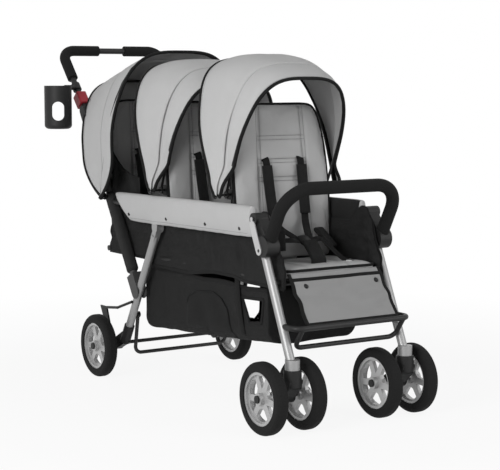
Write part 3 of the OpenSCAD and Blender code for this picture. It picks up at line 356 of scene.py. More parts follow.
def newPiece(name, verts, faces, finish, uvs=None):
    mesh = bpy.data.meshes.new(name)
    mesh.from_pydata([tuple(v) for v in verts], [], faces)
    mesh.update()
    if uvs is not None:
        giveUv(mesh, uvs)
    for one in [finish] if isinstance(finish, str) else finish:
        mesh.materials.append(finishes[one])
    makeSmooth(mesh)
    return linked(name, mesh)


def gridOf(rows, cols, at):
    # points from at(k, t): k goes from row to row and t along a row, both from 0 to 1
    return [[at(i / (rows - 1), j / (cols - 1)) for j in range(cols)] for i in range(rows)]


def gridFaces(rows, cols, wrap=False):
    last = cols if wrap else cols - 1
    return [(i * cols + j, (i + 1) * cols + j, (i + 1) * cols + (j + 1) % cols, i * cols + (j + 1) % cols)
            for i in range(rows - 1) for j in range(last)]


# lengths along both ways of a grid of points, as a UV map in metres
def gridUv(grid):
    uvs, along = [], 0.0
    for i, row in enumerate(grid):
        if i:
            along += sum((a - b).length for a, b in zip(row, grid[i - 1])) / len(row)
        run = 0.0
        for j, point in enumerate(row):
            if j:
                run += (point - row[j - 1]).length
            uvs.append((run, along))
    return uvs


def gridPiece(name, grid, finish):
    faces = gridFaces(len(grid), len(grid[0]))
    return newPiece(name, [p for row in grid for p in row], faces, finish, gridUv(grid))


def pathLength(path):
    return sum((a - b).length for a, b in zip(path, path[1:]))


def flatSize(grid):
    # the longest row and column of a grid, with a little ease
    return max(map(pathLength, grid)) * 1.02, max(map(pathLength, zip(*grid))) * 1.02


def areaOf(grid):
    total = 0.0
    for i in range(len(grid) - 1):
        for j in range(len(grid[0]) - 1):
            a, b, c, d = grid[i][j], grid[i + 1][j], grid[i + 1][j + 1], grid[i][j + 1]
            total += 0.5 * ((b - a).cross(c - a)).length + 0.5 * ((c - a).cross(d - a)).length
    return total


def addModifier(piece, kind, name, **settings):
    modifier = piece.modifiers.new(name, kind)
    for key, value in settings.items():
        setattr(modifier, key, value)


def settle(piece):
    # turn what the modifiers show into the piece's own mesh
    view = bpy.context.evaluated_depsgraph_get()
    view.update()
    mesh = bpy.data.meshes.new_from_object(piece.evaluated_get(view))
    piece.modifiers.clear()
    old = piece.data
    piece.data = mesh
    bpy.data.meshes.remove(old)
    return piece


def thicken(piece, thick, **settings):
    addModifier(piece, "SOLIDIFY", "cloth", thickness=thick, offset=0.0, **settings)
    return settle(piece)


# a tube along a path: section lists (side, out) offsets; ups is the out direction, one for all points or one each
def sweep(name, path, section, finish, ups=None, closed=False):
    count, ring = len(path), len(section)
    if isinstance(ups, Vector):
        ups = [ups] * count
    verts, uvs = [], []
    edge = [0.0]
    for a, b in zip(section, section[1:]):
        edge.append(edge[-1] + math.dist(a, b))
    run, side = 0.0, None
    for i, point in enumerate(path):
        before = path[i - 1] if (i or closed) else path[0]
        after = path[(i + 1) % count] if (i < count - 1 or closed) else path[-1]
        along = (after - before).normalized()
        if ups is not None:
            out = (ups[i] - along * ups[i].dot(along)).normalized()
            side = out.cross(along)
        else:
            if side is None:
                side = along.orthogonal().normalized()
            side = (side - along * side.dot(along)).normalized()
            out = along.cross(side)
        if i:
            run += (point - path[i - 1]).length
        for (s, o), e in zip(section, edge):
            verts.append(point + side * s + out * o)
            uvs.append((e, run))
    faces, last = gridFaces(count, ring, True), (count - 1) * ring
    if closed:
        faces += [(last + j, j, (j + 1) % ring, last + (j + 1) % ring) for j in range(ring)]
    else:
        faces += [tuple(reversed(range(ring))), tuple(last + j for j in range(ring))]
    return reshaped(newPiece(name, verts, faces, finish, uvs), faceOut)


# closed rings of points joined into a tube with both ends shut; pick chooses the finish by column
def loft(name, rings, finish, pick=lambda j: 0):
    rows, cols = len(rings), len(rings[0])
    ends = [tuple(reversed(range(cols))), tuple((rows - 1) * cols + j for j in range(cols))]
    verts = [p for ring in rings for p in ring]
    piece = newPiece(name, verts, gridFaces(rows, cols, True) + ends, finish, gridUv(rings))
    marks = [pick(j) for j in range(cols)] * (rows - 1) + [0, 0]
    piece.data.polygons.foreach_set("material_index", marks)
    return reshaped(piece, faceOut)


def roundSection(radius):
    return [(radius * c, radius * s) for _, c, s in turns(8)]


def flatSection(width, thick, steps=4):
    # a strap's section: straight faces and rounded edges
    pts, r = [], thick / 2
    for way in (1, -1):
        for k in range(steps + 1):
            a = -way * math.pi / 2 + math.pi * k / steps
            pts.append((way * (width / 2 - r) + math.cos(a) * r, math.sin(a) * r))
    return pts


# a smooth path through a few points
def smoothPath(points, steps):
    pts = [Vector(p) for p in points]
    pts = [pts[0] * 2 - pts[1]] + pts + [pts[-1] * 2 - pts[-2]]
    out = []
    for k in range(1, len(pts) - 2):
        a, b, c, d = pts[k - 1:k + 3]
        for i in range(steps):
            t = i / steps
            square, cube = (2 * a - 5 * b + 4 * c - d) * t * t, (3 * b - a - 3 * c + d) * t ** 3
            out.append(0.5 * ((2 * b) + (c - a) * t + square + cube))
    out.append(pts[-2].copy())
    return out


def thinned(path, gap):
    # leaves out points that are closer than the gap to the one before
    out = [path[0].copy()]
    for p in path[1:]:
        if (p - out[-1]).length > gap:
            out.append(p.copy())
    return out


def joined(name, pieces):
    # several meshes as one piece, materials kept
    mesh = bpy.data.meshes.new(name)
    whole = bmesh.new()
    slots = []
    for piece in pieces:
        first = len(whole.faces)
        whole.from_mesh(piece.data)
        whole.faces.ensure_lookup_table()
        slots += [m for m in piece.data.materials if m not in slots]
        table = [slots.index(m) for m in piece.data.materials]
        for face in whole.faces[first:]:
            face.material_index = table[min(face.material_index, len(table) - 1)]
        removed(piece)
    whole.to_mesh(mesh)
    whole.free()
    for material in slots:
        mesh.materials.append(material)
    return linked(name, mesh)


def ridesAs(piece, slot, body="chassis", node=None):
    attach(piece, body)
    if node:
        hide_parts(node)


# a Geometry Nodes tree with named sizes: build() sets pieces on points, which are then made real and painted
def repeatTree(name, sizes, build):
    tree = bpy.data.node_groups.new(name, "GeometryNodeTree")

    def socket(label, kind, way="INPUT"):
        return tree.interface.new_socket(label, in_out=way, socket_type="NodeSocket" + kind).identifier
    socket("Geometry", "Geometry")
    ids = {label: socket(label, kind) for label, kind in {**sizes, "Finish": "Material"}.items()}
    socket("Geometry", "Geometry", "OUTPUT")
    b = Bench(tree)
    given = b.add("NodeGroupInput")
    put = b.add("GeometryNodeInstanceOnPoints", {}, build(b, given))["Instances"]
    real = b.add("GeometryNodeRealizeInstances", {}, {"Geometry": put})["Geometry"]
    paint = b.add("GeometryNodeSetMaterial", {}, {"Geometry": real, "Material": given["Finish"]})["Geometry"]
    b.add("NodeGroupOutput", {}, {"Geometry": paint})
    return tree, ids


def repeated(name, verts, edges, tree, ids, finish, sizes):
    mesh = bpy.data.meshes.new(name)
    mesh.from_pydata([tuple(v) for v in verts], edges, [])
    piece = linked(name, mesh)
    modifier = piece.modifiers.new("repeat", "NODES")
    modifier.node_group = tree
    for label, value in {**sizes, "Finish": finishes[finish]}.items():
        modifier[ids[label]] = value
    settle(piece)
    if not piece.data.materials:
        piece.data.materials.append(finishes[finish])
    return piece


# a row of stitches along a path, one dash per step
def stitchDashes(b, given):
    curve = b.add("GeometryNodeMeshToCurve", {}, {"Mesh": given["Geometry"]})["Curve"]
    points = b.add("GeometryNodeCurveToPoints", {"mode": "LENGTH"}, {"Curve": curve, "Length": given["Step"]})
    dash = {"Vertices": 5, "Radius": given["Thread"], "Depth": given["Dash"]}
    return {"Points": points["Points"], "Rotation": points["Rotation"],
            "Instance": b.add("GeometryNodeMeshCylinder", {}, dash)["Mesh"]}


# snaps: a flat flange with a low crown, set on every given point
def snapDomes(b, given):
    flange = {"Vertices": 20, "Radius": given["Radius"], "Depth": given["Height"]}
    crown = {"Segments": 18, "Rings": 10, "Radius": given["Radius"] * 0.7}
    lift = b.add("ShaderNodeCombineXYZ", {}, {"Z": given["Height"]})["Vector"]
    low = {"Geometry": b.add("GeometryNodeMeshUVSphere", {}, crown)["Mesh"], "Translation": lift,
           "Scale": (1.0, 1.0, 0.55)}
    both = [b.add("GeometryNodeMeshCylinder", {}, flange)["Mesh"], b.add("GeometryNodeTransform", {}, low)["Geometry"]]
    whole = b.add("GeometryNodeJoinGeometry", {}, {"Geometry": both})["Geometry"]
    aim = b.add("FunctionNodeAlignRotationToVector", {"axis": "Z"}, {"Vector": given["Aim"]})["Rotation"]
    return {"Points": given["Geometry"], "Rotation": aim,
            "Instance": b.add("GeometryNodeSetShadeSmooth", {}, {"Geometry": whole})["Geometry"]}


stitches = repeatTree("stitchRow", {"Step": "Float", "Dash": "Float", "Thread": "Float"}, stitchDashes)
domes = repeatTree("domeSet", {"Radius": "Float", "Height": "Float", "Aim": "Vector"}, snapDomes)


def stitchRow(name, paths, finish, step=0.0046, dash=0.0030, thread=0.0005):
    verts, edges = [], []
    for path in paths:
        start = len(verts)
        verts += path
        edges += [(start + i, start + i + 1) for i in range(len(path) - 1)]
    return repeated(name, verts, edges, *stitches, finish, {"Step": step, "Dash": dash, "Thread": thread})


def domeSet(name, places, aim, radius, height, finish):
    return repeated(name, places, [], *domes, finish, {"Radius": radius, "Height": height, "Aim": aim})


# hoods: a front sheet on the turning bow laps a rear sheet on the fixed bow
hoodLook = {"power": 3.4, "base": 0.965, "lap": 3.0, "split": 0.3, "bulge": 0.004, "cloth": 0.0018, "rows": 16,
            "cols": 132, "nest": 0.006, "lifted": (0.0034, 0.006), "bindR": 0.0050, "bindGap": 0.0018,
            "stitchGap": 0.0046, "stitchEnd": 8, "tipRound": 0.75, "moreFade": (0.22, 0.38), "bowFade": (0.02, 0.10)}
hoodSizes = {
    1: {"pivot": (0.6554, 0.645), "lean": (24.6, -20.0), "tall": (0.376, 0.426), "half": (0.186, 0.227),
        "over": "rear", "flat": 0.0,
        "tip": {"low": -0.005, "long": 0.050, "wide": 0.020, "more": 0.004, "back": -0.014, "out": 0.007, "fade": 0.30}},
    2: {"pivot": (0.27175, 0.634), "lean": (24.6, -20.0), "tall": (0.376, 0.426), "half": (0.186, 0.227),
        "over": "rear", "flat": 0.0,
        "tip": {"low": -0.001, "long": 0.050, "wide": 0.020, "more": 0.006, "back": -0.010, "out": 0.007, "fade": 0.42}},
    3: {"pivot": (-0.03568, 0.595), "lean": (15.4, -27.0), "tall": (0.494, 0.428), "half": (0.241, 0.226),
        "over": "front", "flat": 0.8,
        "tip": {"low": -0.005, "long": 0.150, "wide": 0.114, "more": 0.0, "back": 0.0, "out": 0.007, "fade": 0.36}},
}


def hoodPoint(hood, lean, f, out=0.0):
    # one point of the canopy: lean in degrees, f runs from 0 at the right pivot to 180 at the left one
    first, last = hood["lean"]
    k = (lean - first) / (last - first)
    frontIn, rearIn = (0.0, hoodLook["nest"]) if hood["over"] == "rear" else (hoodLook["nest"], 0.0)
    tall, half = (lerp(hood[way][0] - frontIn, hood[way][1] - rearIn, k) + out for way in ("tall", "half"))
    n, base = hoodLook["power"], hoodLook["base"]
    c, s = math.cos(math.radians(f)), math.sin(math.radians(f))
    r = ((abs(c) / half) ** n + (abs(s) / tall) ** n) ** (-1 / n)
    up = r * s
    y = -r * c * (base + (1 - base) * min(1.0, 2 * up / tall))
    a = math.radians(lean)
    return Vector((hood["pivot"][0] + up * math.sin(a), y, hood["pivot"][1] + up * math.cos(a))), up


def leafPoint(hood, lean, f, out=0.0, over=True):
    # near a pivot the cloth is a rounded leaf, wider than the bows and just outside them
    first, last = hood["lean"]
    tip, middle, reach = hood["tip"], (first + last) / 2, math.radians(first - last) / 2
    _, up = hoodPoint(hood, lean, f, out)
    fade = clamped(1 - (up - tip["low"]) / tip["fade"])
    # the sheet that lies under keeps closer in, so that the other one folds past it
    out += tip["out"] * min(1.0, 2.5 * fade) * (1.0 if over else (lean - first) / (last - first))
    _, up = hoodPoint(hood, lean, f, out)
    turn, a = math.radians(lean - middle), math.radians(middle)
    t = min(1.0, max(0.006, (up - tip["low"]) / tip["long"]))
    wide = (max(0.0, up * math.sin(reach)) ** 4 + tip["wide"] ** 4) ** 0.25
    wide += tip["more"] * max(0.0, turn / reach) * (1 - ease(up, *hoodLook["moreFade"]))
    side = wide * math.sin(math.pi / 2 * t) ** hoodLook["tipRound"] * math.sin(turn) / math.sin(reach)
    along = up * math.cos(turn)
    # past the bows the cloth keeps their width, and at the tips it is as wide as the wider bow
    bow = max(-reach, min(reach, math.atan2(side, max(0.001, along))))
    wider = reach if hood["half"][0] > hood["half"][1] else -reach
    if over or wider < 0:
        bow = lerp(wider, bow, ease(up, *hoodLook["bowFade"]))
    point, _ = hoodPoint(hood, middle + math.degrees(bow), f, out)
    x = along * math.sin(a) + side * math.cos(a) - tip["back"] * fade ** 3
    return Vector((hood["pivot"][0] + x, point.y, hood["pivot"][1] + along * math.cos(a) - side * math.sin(a)))


def hoodSheet(index, hood, part):
    first, last = hood["lean"]
    split = lerp(first, last, hoodLook["split"])
    edge, inner = (first, split - hoodLook["lap"]) if part == "front" else (last, split)
    over = part == hood["over"]
    lowest = math.degrees(math.asin(hood["tip"]["low"] / hood["half"][0]))

    def spread(t):
        # columns lie closer together at the two tips
        return 0.5 - 0.5 * math.cos(math.pi * (0.12 + 0.76 * t))

    def at(k, t):
        f = lowest + (180 - 2 * lowest) * (spread(t) - spread(0)) / (spread(1) - spread(0))
        lean, lifted = lerp(inner, edge, k), lerp(*hoodLook["lifted"], k) if over else 0.0
        _, up = hoodPoint(hood, lean, f)
        high = clamped(up / 0.12)
        swell = hoodLook["bulge"] * math.sin(math.pi * k) * high
        pleat = math.sin(9 * math.radians(lean * 3.1) + 7 * up / 0.1 + index)
        drape = 0.0012 * pleat * math.exp(-max(0.0, up) / 0.13) * k * (1 - k) * 4
        drape += (0.0016 * wobble(lean * 0.16, f * 0.035, index * 3.7)
                  + 0.0016 * wobble(lean * 0.07, f * 0.16, index * 5.1)) * math.sin(math.pi * k)
        point = leafPoint(hood, lean, f, lifted + swell + drape, over)
        if hood["flat"]:
            # pulled straight from bow to bow
            front, rear = (leafPoint(hood, bow, f, lifted, over) for bow in (first, last))
            point = point.lerp(front.lerp(rear, (lean - first) / (last - first)), hood["flat"] * high)
        return point
    grid = gridOf(hoodLook["rows"], hoodLook["cols"], at)
    sheet = gridPiece("hood_%s_sheet_%d" % (part, index), grid, ["hood", "lining"])
    if part == "rear":
        reshaped(sheet, turnFaces)
    return thicken(sheet, hoodLook["cloth"], material_offset=1, material_offset_rim=0), grid


def hoodEdge(name, hood, grid):
    # cloth sleeve over the bow, down to both tips
    path = thinned(grid[-1], hoodLook["bindGap"])
    centre = Vector((hood["pivot"][0], 0.0, hood["pivot"][1] + 0.1))
    r = hoodLook["bindR"]
    section = [(r * 1.05 * c * (1.0 + 0.12 * math.cos(2 * a)), r * s) for a, c, s in turns(12)]
    return sweep(name, path, section, "piping", [p - centre for p in path])


def hoodStitch(name, hood, grid):
    centre, line = Vector((hood["pivot"][0], 0, hood["pivot"][1])), []
    for j in range(hoodLook["stitchEnd"], len(grid[0]) - hoodLook["stitchEnd"]):
        a, b, c = grid[-2][j], grid[-2][j + 1], grid[-1][j]
        normal = (b - a).cross(c - a).normalized()
        outward = normal if normal.dot(a - centre) > 0 else -normal
        line.append(a + outward * (hoodLook["cloth"] * 0.5 + 0.0002))
    return stitchRow(name, [line], "thread", hoodLook["stitchGap"])


for index, hood in hoodSizes.items():
    for part, body in (("front", "hood_%d" % index), ("rear", "chassis")):
        sheet, grid = hoodSheet(index, hood, part)
        binding = hoodEdge("hood_%s_binding_%d" % (part, index), hood, grid)
        thread = hoodStitch("hood_%s_stitch_%d" % (part, index), hood, grid)
        flatSize(grid)
        areaOf(grid)
        ridesAs(sheet, "hood_cloth", body, "hood_%s_%d" % (part, index))
        ridesAs(binding, "black_cloth", body)
        ridesAs(thread, "hood_cloth", body)
print("hoods made")


# seat pads: simulated cushions with sewn channels; shape gives (height, half width), seams (points, depth, width)
seatPlaces = {1: 0.725, 2: 0.340, 3: -0.045}
padLook = {"grow": 0.0075, "voxel": 0.006, "pressure": 4.0, "stiff": 12.0, "bend": 0.4, "frames": 20, "cap": 0.008,
           "rest": 0.0005, "fill": 0.65}
backLook = {"shape": ((-0.016, 0.156), (0.006, 0.166), (0.1, 0.169), (0.2, 0.170), (0.3, 0.166), (0.36, 0.158),
                      (0.41, 0.145), (0.434, 0.132), (0.444, 0.114), (0.447, 0.085)),
            "thick": 0.017, "recline": 7.0, "low": 0.014, "behind": 0.0275, "seatTop": 0.455,
            "piping": {"from": 0.02, "out": 0.013, "radius": 0.0036},
            "stitch": {"off": 0.006, "from": 0.012, "to": 0.435, "out": 0.0255, "sunk": 0.32, "step": 0.005,
                       "dash": 0.0032, "thread": 0.0006}}
backSeams = [([(-0.088, 0.0), (-0.084, 0.2), (-0.078, 0.44)], 0.008, 0.007),
             ([(0.088, 0.0), (0.084, 0.2), (0.078, 0.44)], 0.008, 0.007),
             ([(-0.082, 0.345), (0.082, 0.345)], 0.006, 0.006),
             ([(-0.084, 0.276), (0.084, 0.276)], 0.005, 0.006),
             ([(-0.084, 0.222), (0.084, 0.222)], 0.006, 0.010)]
panLook = {"half": 0.163, "length": 0.228, "topRound": 0.03, "lowRound": 0.02, "cornerSteps": 18, "fine": 0.02,
           "pull": 0.004, "thick": 0.022, "under": 0.4235, "behind": 0.010,
           "piping": {"in": 0.002, "out": 0.022, "radius": 0.0042, "gap": 0.003}}
panSeams = [([(y, 0.0), (y, 0.222)], 0.005, 0.006) for y in (-0.078, 0.078)]


def panShape():
    # closed outline: x across, y along, round corners, sides pulled in between them
    half, length, low, top, pull = (panLook[key] for key in ("half", "length", "lowRound", "topRound", "pull"))
    corners = ((half - low, low, low, -90), (half - top, length - top, top, 0),
               (-half + top, length - top, top, 90), (-half + low, low, low, 180))
    pts, count = [], panLook["cornerSteps"]
    for cx, cy, r, start in corners:
        angles = [math.radians(start + 90 * k / count) for k in range(count + 1)]
        pts += [(cx + r * math.cos(a), cy + r * math.sin(a)) for a in angles]
    fine = []
    for (x, y), (nx, ny) in zip(pts, pts[1:] + pts[:1]):
        steps = int(math.dist((x, y), (nx, ny)) / panLook["fine"])
        fine += [(x, y)] + [(lerp(x, nx, k / steps), lerp(y, ny, k / steps)) for k in range(1, steps)]
    middle, shaped = length / 2, []
    for x, y in fine:
        tx, ty = x / half, (y - middle) / middle
        shaped.append((x * (1 - pull / half * (1 - ty * ty) * abs(tx) ** 6),
                       middle + (y - middle) * (1 - pull / length * (1 - tx * tx) * abs(ty) ** 6)))
    return shaped


def grownOutline(outline, grow):
    cx, cy = (sum(p[i] for p in outline) / len(outline) for i in (0, 1))
    sizes = [1 + grow / math.hypot(x - cx, y - cy) for x, y in outline]
    return [(cx + (x - cx) * size, cy + (y - cy) * size) for (x, y), size in zip(outline, sizes)]


def swollen(pad):
    # places of the pad's points after a short cloth run under pressure
    cloth = pad.modifiers.new("air", "CLOTH")
    cloth.settings.use_pressure = True
    cloth.settings.uniform_pressure_force = padLook["pressure"]
    cloth.settings.effector_weights.gravity = 0.0
    cloth.settings.tension_stiffness = cloth.settings.compression_stiffness = padLook["stiff"]
    cloth.settings.bending_stiffness = padLook["bend"]
    cloth.collision_settings.use_collision = False
    cloth.point_cache.frame_start, cloth.point_cache.frame_end = 1, padLook["frames"]
    for step in range(1, padLook["frames"] + 1):
        scene.frame_set(step)
    shown = pad.evaluated_get(bpy.context.evaluated_depsgraph_get())
    ends = [v.co.copy() for v in shown.to_mesh().vertices]
    shown.to_mesh_clear()
    pad.modifiers.clear()
    scene.frame_set(1)
    return ends


def puffedPad(name, outline, thick):
    # closed slab, remeshed, then swollen by pressure, which draws its outline in by about as much as it is grown here
    ring = grownOutline(outline, padLook["grow"])
    n = len(ring)
    verts = [(x, y, z) for z in (0.0, thick) for x, y in ring]
    faces = [tuple(reversed(range(n))), tuple(range(n, 2 * n))]
    faces += [(i, (i + 1) % n, n + (i + 1) % n, n + i) for i in range(n)]
    pad = newPiece(name, verts, faces, "seat")
    addModifier(pad, "REMESH", "voxels", mode="VOXEL", voxel_size=padLook["voxel"])
    settle(pad)
    start = [v.co.copy() for v in pad.data.vertices]
    ends = swollen(pad)
    for vert, a, b in zip(pad.data.vertices, start, ends):
        move = b - a
        if move.length > padLook["cap"]:
            move *= padLook["cap"] / move.length
        vert.co = a + move
        if vert.co.z < padLook["rest"]:
            vert.co.z = lerp(vert.co.z, padLook["rest"], 0.9)   # flat where it lies on its board
    return pad


def sewPad(pad, seams, thick, seed):
    # the front of the pad dips along each seam, with small puckers beside it
    for vert in pad.data.vertices:
        x, y, z = vert.co
        front = clamped((z - thick * 0.45) / (thick * 0.4))
        if front <= 0:
            continue
        dip = 0.0
        for pts, depth, width in seams:
            for (ax, ay), (bx, by) in zip(pts, pts[1:]):
                length2 = (bx - ax) ** 2 + (by - ay) ** 2
                t = clamped(((x - ax) * (bx - ax) + (y - ay) * (by - ay)) / length2)
                d = math.dist((x, y), (ax + (bx - ax) * t, ay + (by - ay) * t))
                pucker = 1 + 0.25 * math.sin(t * math.sqrt(length2) * 260 + seed)
                dip = max(dip, depth * math.exp(-(d / width) ** 2) * (pucker if d > width * 0.6 else 1))
        crease = 0.0011 * wobble(x * 38 + seed, y * 22, seed) + 0.0007 * wobble(x * 90, y * 70 + seed, 3.0)
        vert.co.z += front * (crease - dip)


def seatPad(model, name, seams, thick, seed, place):
    pad = linked(name, model.data.copy())
    sewPad(pad, seams, thick, seed)
    addModifier(pad, "SUBSURF", "round", levels=1, render_levels=1)
    settle(pad)
    giveUv(pad.data, [(v.co.x, v.co.y + v.co.z) for v in pad.data.vertices])
    for vert in pad.data.vertices:
        vert.co = place(vert.co)
    pad.data.update()
    makeSmooth(pad.data)
    if not pad.data.materials:
        pad.data.materials.append(finishes["seat"])
    return pad


def backPlace(corner):
    a = math.radians(backLook["recline"])

    def place(p):
        x, z = -backLook["behind"] + p[2], backLook["low"] + p[1]
        return Vector((corner + x * math.cos(a) - z * math.sin(a), p[0],
                       backLook["seatTop"] + x * math.sin(a) + z * math.cos(a)))
    return place


def panPlace(corner):
    def place(p):
        return Vector((corner - panLook["behind"] + p[1], p[0], panLook["under"] + p[2]))
    return place


backSide = [(p.x, p.y) for p in smoothPath([(half, up, 0) for up, half in backLook["shape"]], 6)]
backOutline = backSide + [(-x, y) for x, y in reversed(backSide)]
panOutline = panShape()
backPad = puffedPad("pad_model_back", backOutline, backLook["thick"])
panPad = puffedPad("pad_model_pan", panOutline, panLook["thick"])
print("pads swollen:", len(backPad.data.vertices), len(panPad.data.vertices), "points")


def backPiping(name, place):
    look = backLook["piping"]
    path = [place((x, y, look["out"])) for x, y in backOutline if y > look["from"]]
    return sweep(name, path, roundSection(look["radius"]), "piping")


def panPiping(name, place):
    look = panLook["piping"]
    path = thinned([place((x, y, look["out"])) for x, y in grownOutline(panOutline, -look["in"])], look["gap"])
    if (path[0] - path[-1]).length < look["gap"]:
        path.pop()
    return sweep(name, path, roundSection(look["radius"]), "piping", closed=True)


def backStitch(name, place):
    look, lines = backLook["stitch"], []
    for pts, depth, _ in backSeams:
        dx, dy = (1, 0) if len(pts) > 2 else (0, 1)   # the tall seams have three points
        for off in (-look["off"], look["off"]):
            path = smoothPath([(x + dx * off, y + dy * off, 0) for x, y in pts], 16)
            lines.append([place((p.x, min(p.y, look["to"]), look["out"] - depth * look["sunk"]))
                          for p in path if look["from"] < p.y])
    return stitchRow(name, lines, "darkThread", look["step"], look["dash"], look["thread"])


for seat, corner in seatPlaces.items():
    onBack, onPan = backPlace(corner), panPlace(corner)
    back = seatPad(backPad, "seat_back_pad_%d" % seat, backSeams, backLook["thick"], seat * 1.7, onBack)
    pan = seatPad(panPad, "seat_pan_pad_%d" % seat, panSeams, panLook["thick"], seat * 2.3 + 9, onPan)
    for pad, node in ((back, "seat_back_%d" % seat), (pan, "seat_pan_%d" % seat)):
        padLook["fill"]
        ridesAs(pad, "seat_cloth", node=node)
    for piece in (backPiping("seat_back_piping_%d" % seat, onBack), panPiping("seat_pan_piping_%d" % seat, onPan),
                  backStitch("seat_back_stitch_%d" % seat, onBack)):
        ridesAs(piece, "black_cloth")
for model in (backPad, panPad):
    removed(model)
print("seat pads made")


# padded sleeves round the rails: light outside, black inside, a flat hem below
sleeveLook = {"first": 0.006, "last": 0.826, "y": 0.195, "low": 0.057, "up": 0.034, "half": 0.0165, "rows": 110,
              "cols": 28, "slant": 1.1, "fill": 0.7, "cover": {"at": 0.276, "reach": 0.042, "out": 0.0015},
              "snap": {"places": (0.110, 0.350, 0.581, 0.77), "in": 0.0042, "down": 0.033, "lean": 0.12,
                       "radius": 0.0062, "height": 0.0016},
              "stitch": {"ends": (0.115, 0.806), "count": 120, "in": 0.0068, "overLeg": 0.0071, "down": 0.046}}
railLook = {"rear": -0.025, "long": 0.887, "z": 0.578, "rise": 0.014}


def railZ(x):
    return railLook["z"] + (x - railLook["rear"]) / railLook["long"] * railLook["rise"]


def sleeveCover(x):
    # 1 where the sleeve covers the top of the rear leg
    cover = sleeveLook["cover"]
    return math.exp(-((x - cover["at"]) / cover["reach"]) ** 2)


def sleeve(name, side):
    up, half, rings = sleeveLook["up"], sleeveLook["half"], []
    for i in range(sleeveLook["rows"]):
        t = i / (sleeveLook["rows"] - 1)
        end = min(1.0, 14 * t, 14 * (1 - t))
        end = math.sqrt(max(0.0, 1 - (1 - end) ** 2))
        ring = []
        for a, c, s in turns(sleeveLook["cols"]):
            z = bowed(s, 0.8) * (up if s > 0 else sleeveLook["low"]) * (0.93 + 0.07 * end)
            # the rear end is cut on a slant
            x = lerp(sleeveLook["first"] + (up - z) * sleeveLook["slant"], sleeveLook["last"], t)
            # the outer wall hangs straight where it covers the top of the rear leg
            near = sleeveCover(x) if s < 0 < c else 0.0
            wide = half + sleeveLook["cover"]["out"] * near
            wide *= 1 if s > 0 else 1 - 0.4 * abs(s) ** 1.6 * (1 - near)
            y = bowed(c, lerp(0.62, 0.17, near)) * wide * (0.8 + 0.2 * end)
            soft = 0.0012 * wobble(x * 24, a * 1.3, side * 5) + 0.0008 * wobble(x * 70, a * 2, side * 9)
            ring.append(Vector((x, side * (sleeveLook["y"] + y + soft * 0.8), railZ(x) + z + (soft if s < 0 else 0))))
        rings.append(ring)
    # column 0 faces out; the inner half of the section is black
    return loft(name, rings, ["hood", "black"], lambda j: 1 if 8 <= j <= 20 else 0)


for word, side in hands.items():
    piece = sleeve("rail_sleeve_" + word, side)
    sleeveLook["fill"]
    ridesAs(piece, "hood_cloth", node="rail_sleeves")
for word, side in hands.items():
    out, snap, stitch = sleeveLook["y"] + sleeveLook["half"], sleeveLook["snap"], sleeveLook["stitch"]
    places = [(x, side * (out - snap["in"]), railZ(x) - snap["down"]) for x in snap["places"]]
    aim = (0, side, snap["lean"])
    snaps = domeSet("sleeve_snaps_" + word, places, aim, snap["radius"], snap["height"], "gloss")
    ridesAs(snaps, "black_plastic")
    line = []
    for k in range(stitch["count"] + 1):
        x = lerp(*stitch["ends"], k / stitch["count"])
        y = out - stitch["in"] + stitch["overLeg"] * sleeveCover(x)
        line.append(Vector((x, side * y, railZ(x) - stitch["down"])))
    ridesAs(stitchRow("sleeve_stitch_" + word, [line], "thread"), "hood_cloth")
print("sleeves made")


# side cloth from the sleeve down past the seat frame, with hanging folds: back behind the posts, forward inside the hubs
sideLook = {"rear": -0.079, "knee": 0.494, "low": 0.407, "top": 0.565, "y": 0.1762, "rows": 34, "cols": 170,
            "thick": 0.0018, "hem": (0.010, 0.0034), "sag": 0.018, "frontSag": 0.009, "frontPeak": 0.045,
            "front": ((0.40, 0.955), (0.464, 0.950), (0.514, 0.9225), (0.571, 0.899), (0.62, 0.862))}


def sideCloth(name, side):
    def at(k, t):
        level = lerp(sideLook["low"], sideLook["top"], k)
        rear = sideLook["rear"] + max(0.0, level - sideLook["knee"])
        x = lerp(rear, between(sideLook["front"], level), t)
        low = sideLook["low"] - sideLook["sag"] * ease(x, 0.15, 0.24) * (1 - ease(x, 0.42, 0.6))
        low -= sideLook["frontSag"] * ease(x, 0.68, 0.76)
        top = railZ(x) - 0.026 + sideLook["frontPeak"] * (ease(x, 0.79, 0.85) - ease(x, 0.862, 0.905))
        z = lerp(low, top, k)
        slack = math.sin(math.pi * min(1, k * 1.05)) ** 0.8 if k < 0.95 else 0
        # long folds, then creases
        fold = 0.5 * math.sin(x * 43 + 1.7 * math.sin(x * 11 + side) + 2.0 * k) + 0.3 * math.sin(x * 97 + 3 * k + side)
        fold += 0.6 * wobble(x * 9, z * 12, side * 2.0) + 0.35 * math.sin(z * 150 + 6 * wobble(x * 6, z * 5, side))
        fold += 0.9 * wobble(x * 22 + 14 * z, z * 40, side * 7.0)
        return Vector((x, side * (sideLook["y"] - slack * max(0.0, 0.0048 + 0.0052 * fold)), z))
    grid = gridOf(sideLook["rows"], sideLook["cols"], at)
    return thicken(gridPiece(name, grid, "black"), sideLook["thick"]), grid


for word, side in hands.items():
    piece, grid = sideCloth("side_cloth_" + word, side)
    lines = (grid[0], [row[0] for row in grid], [row[-1] for row in grid])
    hems = [sweep("side_hem_%s_%d" % (word, n), line, flatSection(*sideLook["hem"]), "piping", Vector((0, side, 0)))
            for n, line in enumerate(lines)]
    flatSize(grid)
    areaOf(grid)
    ridesAs(piece, "black_cloth", node="side_panels")
    for hem in hems:
        ridesAs(hem, "black_cloth")
print("side cloth made")


# dark cloth covers round the lower handle posts, from the fork up to the hood pivot
coverLook = {"low": 0.358, "high": 0.604, "wide": 0.0218, "deep": 0.0162, "y": 0.195, "rows": 50, "cols": 28,
             "post": {"x": -0.058, "z": 0.631, "run": 0.5315, "rise": 0.847}}


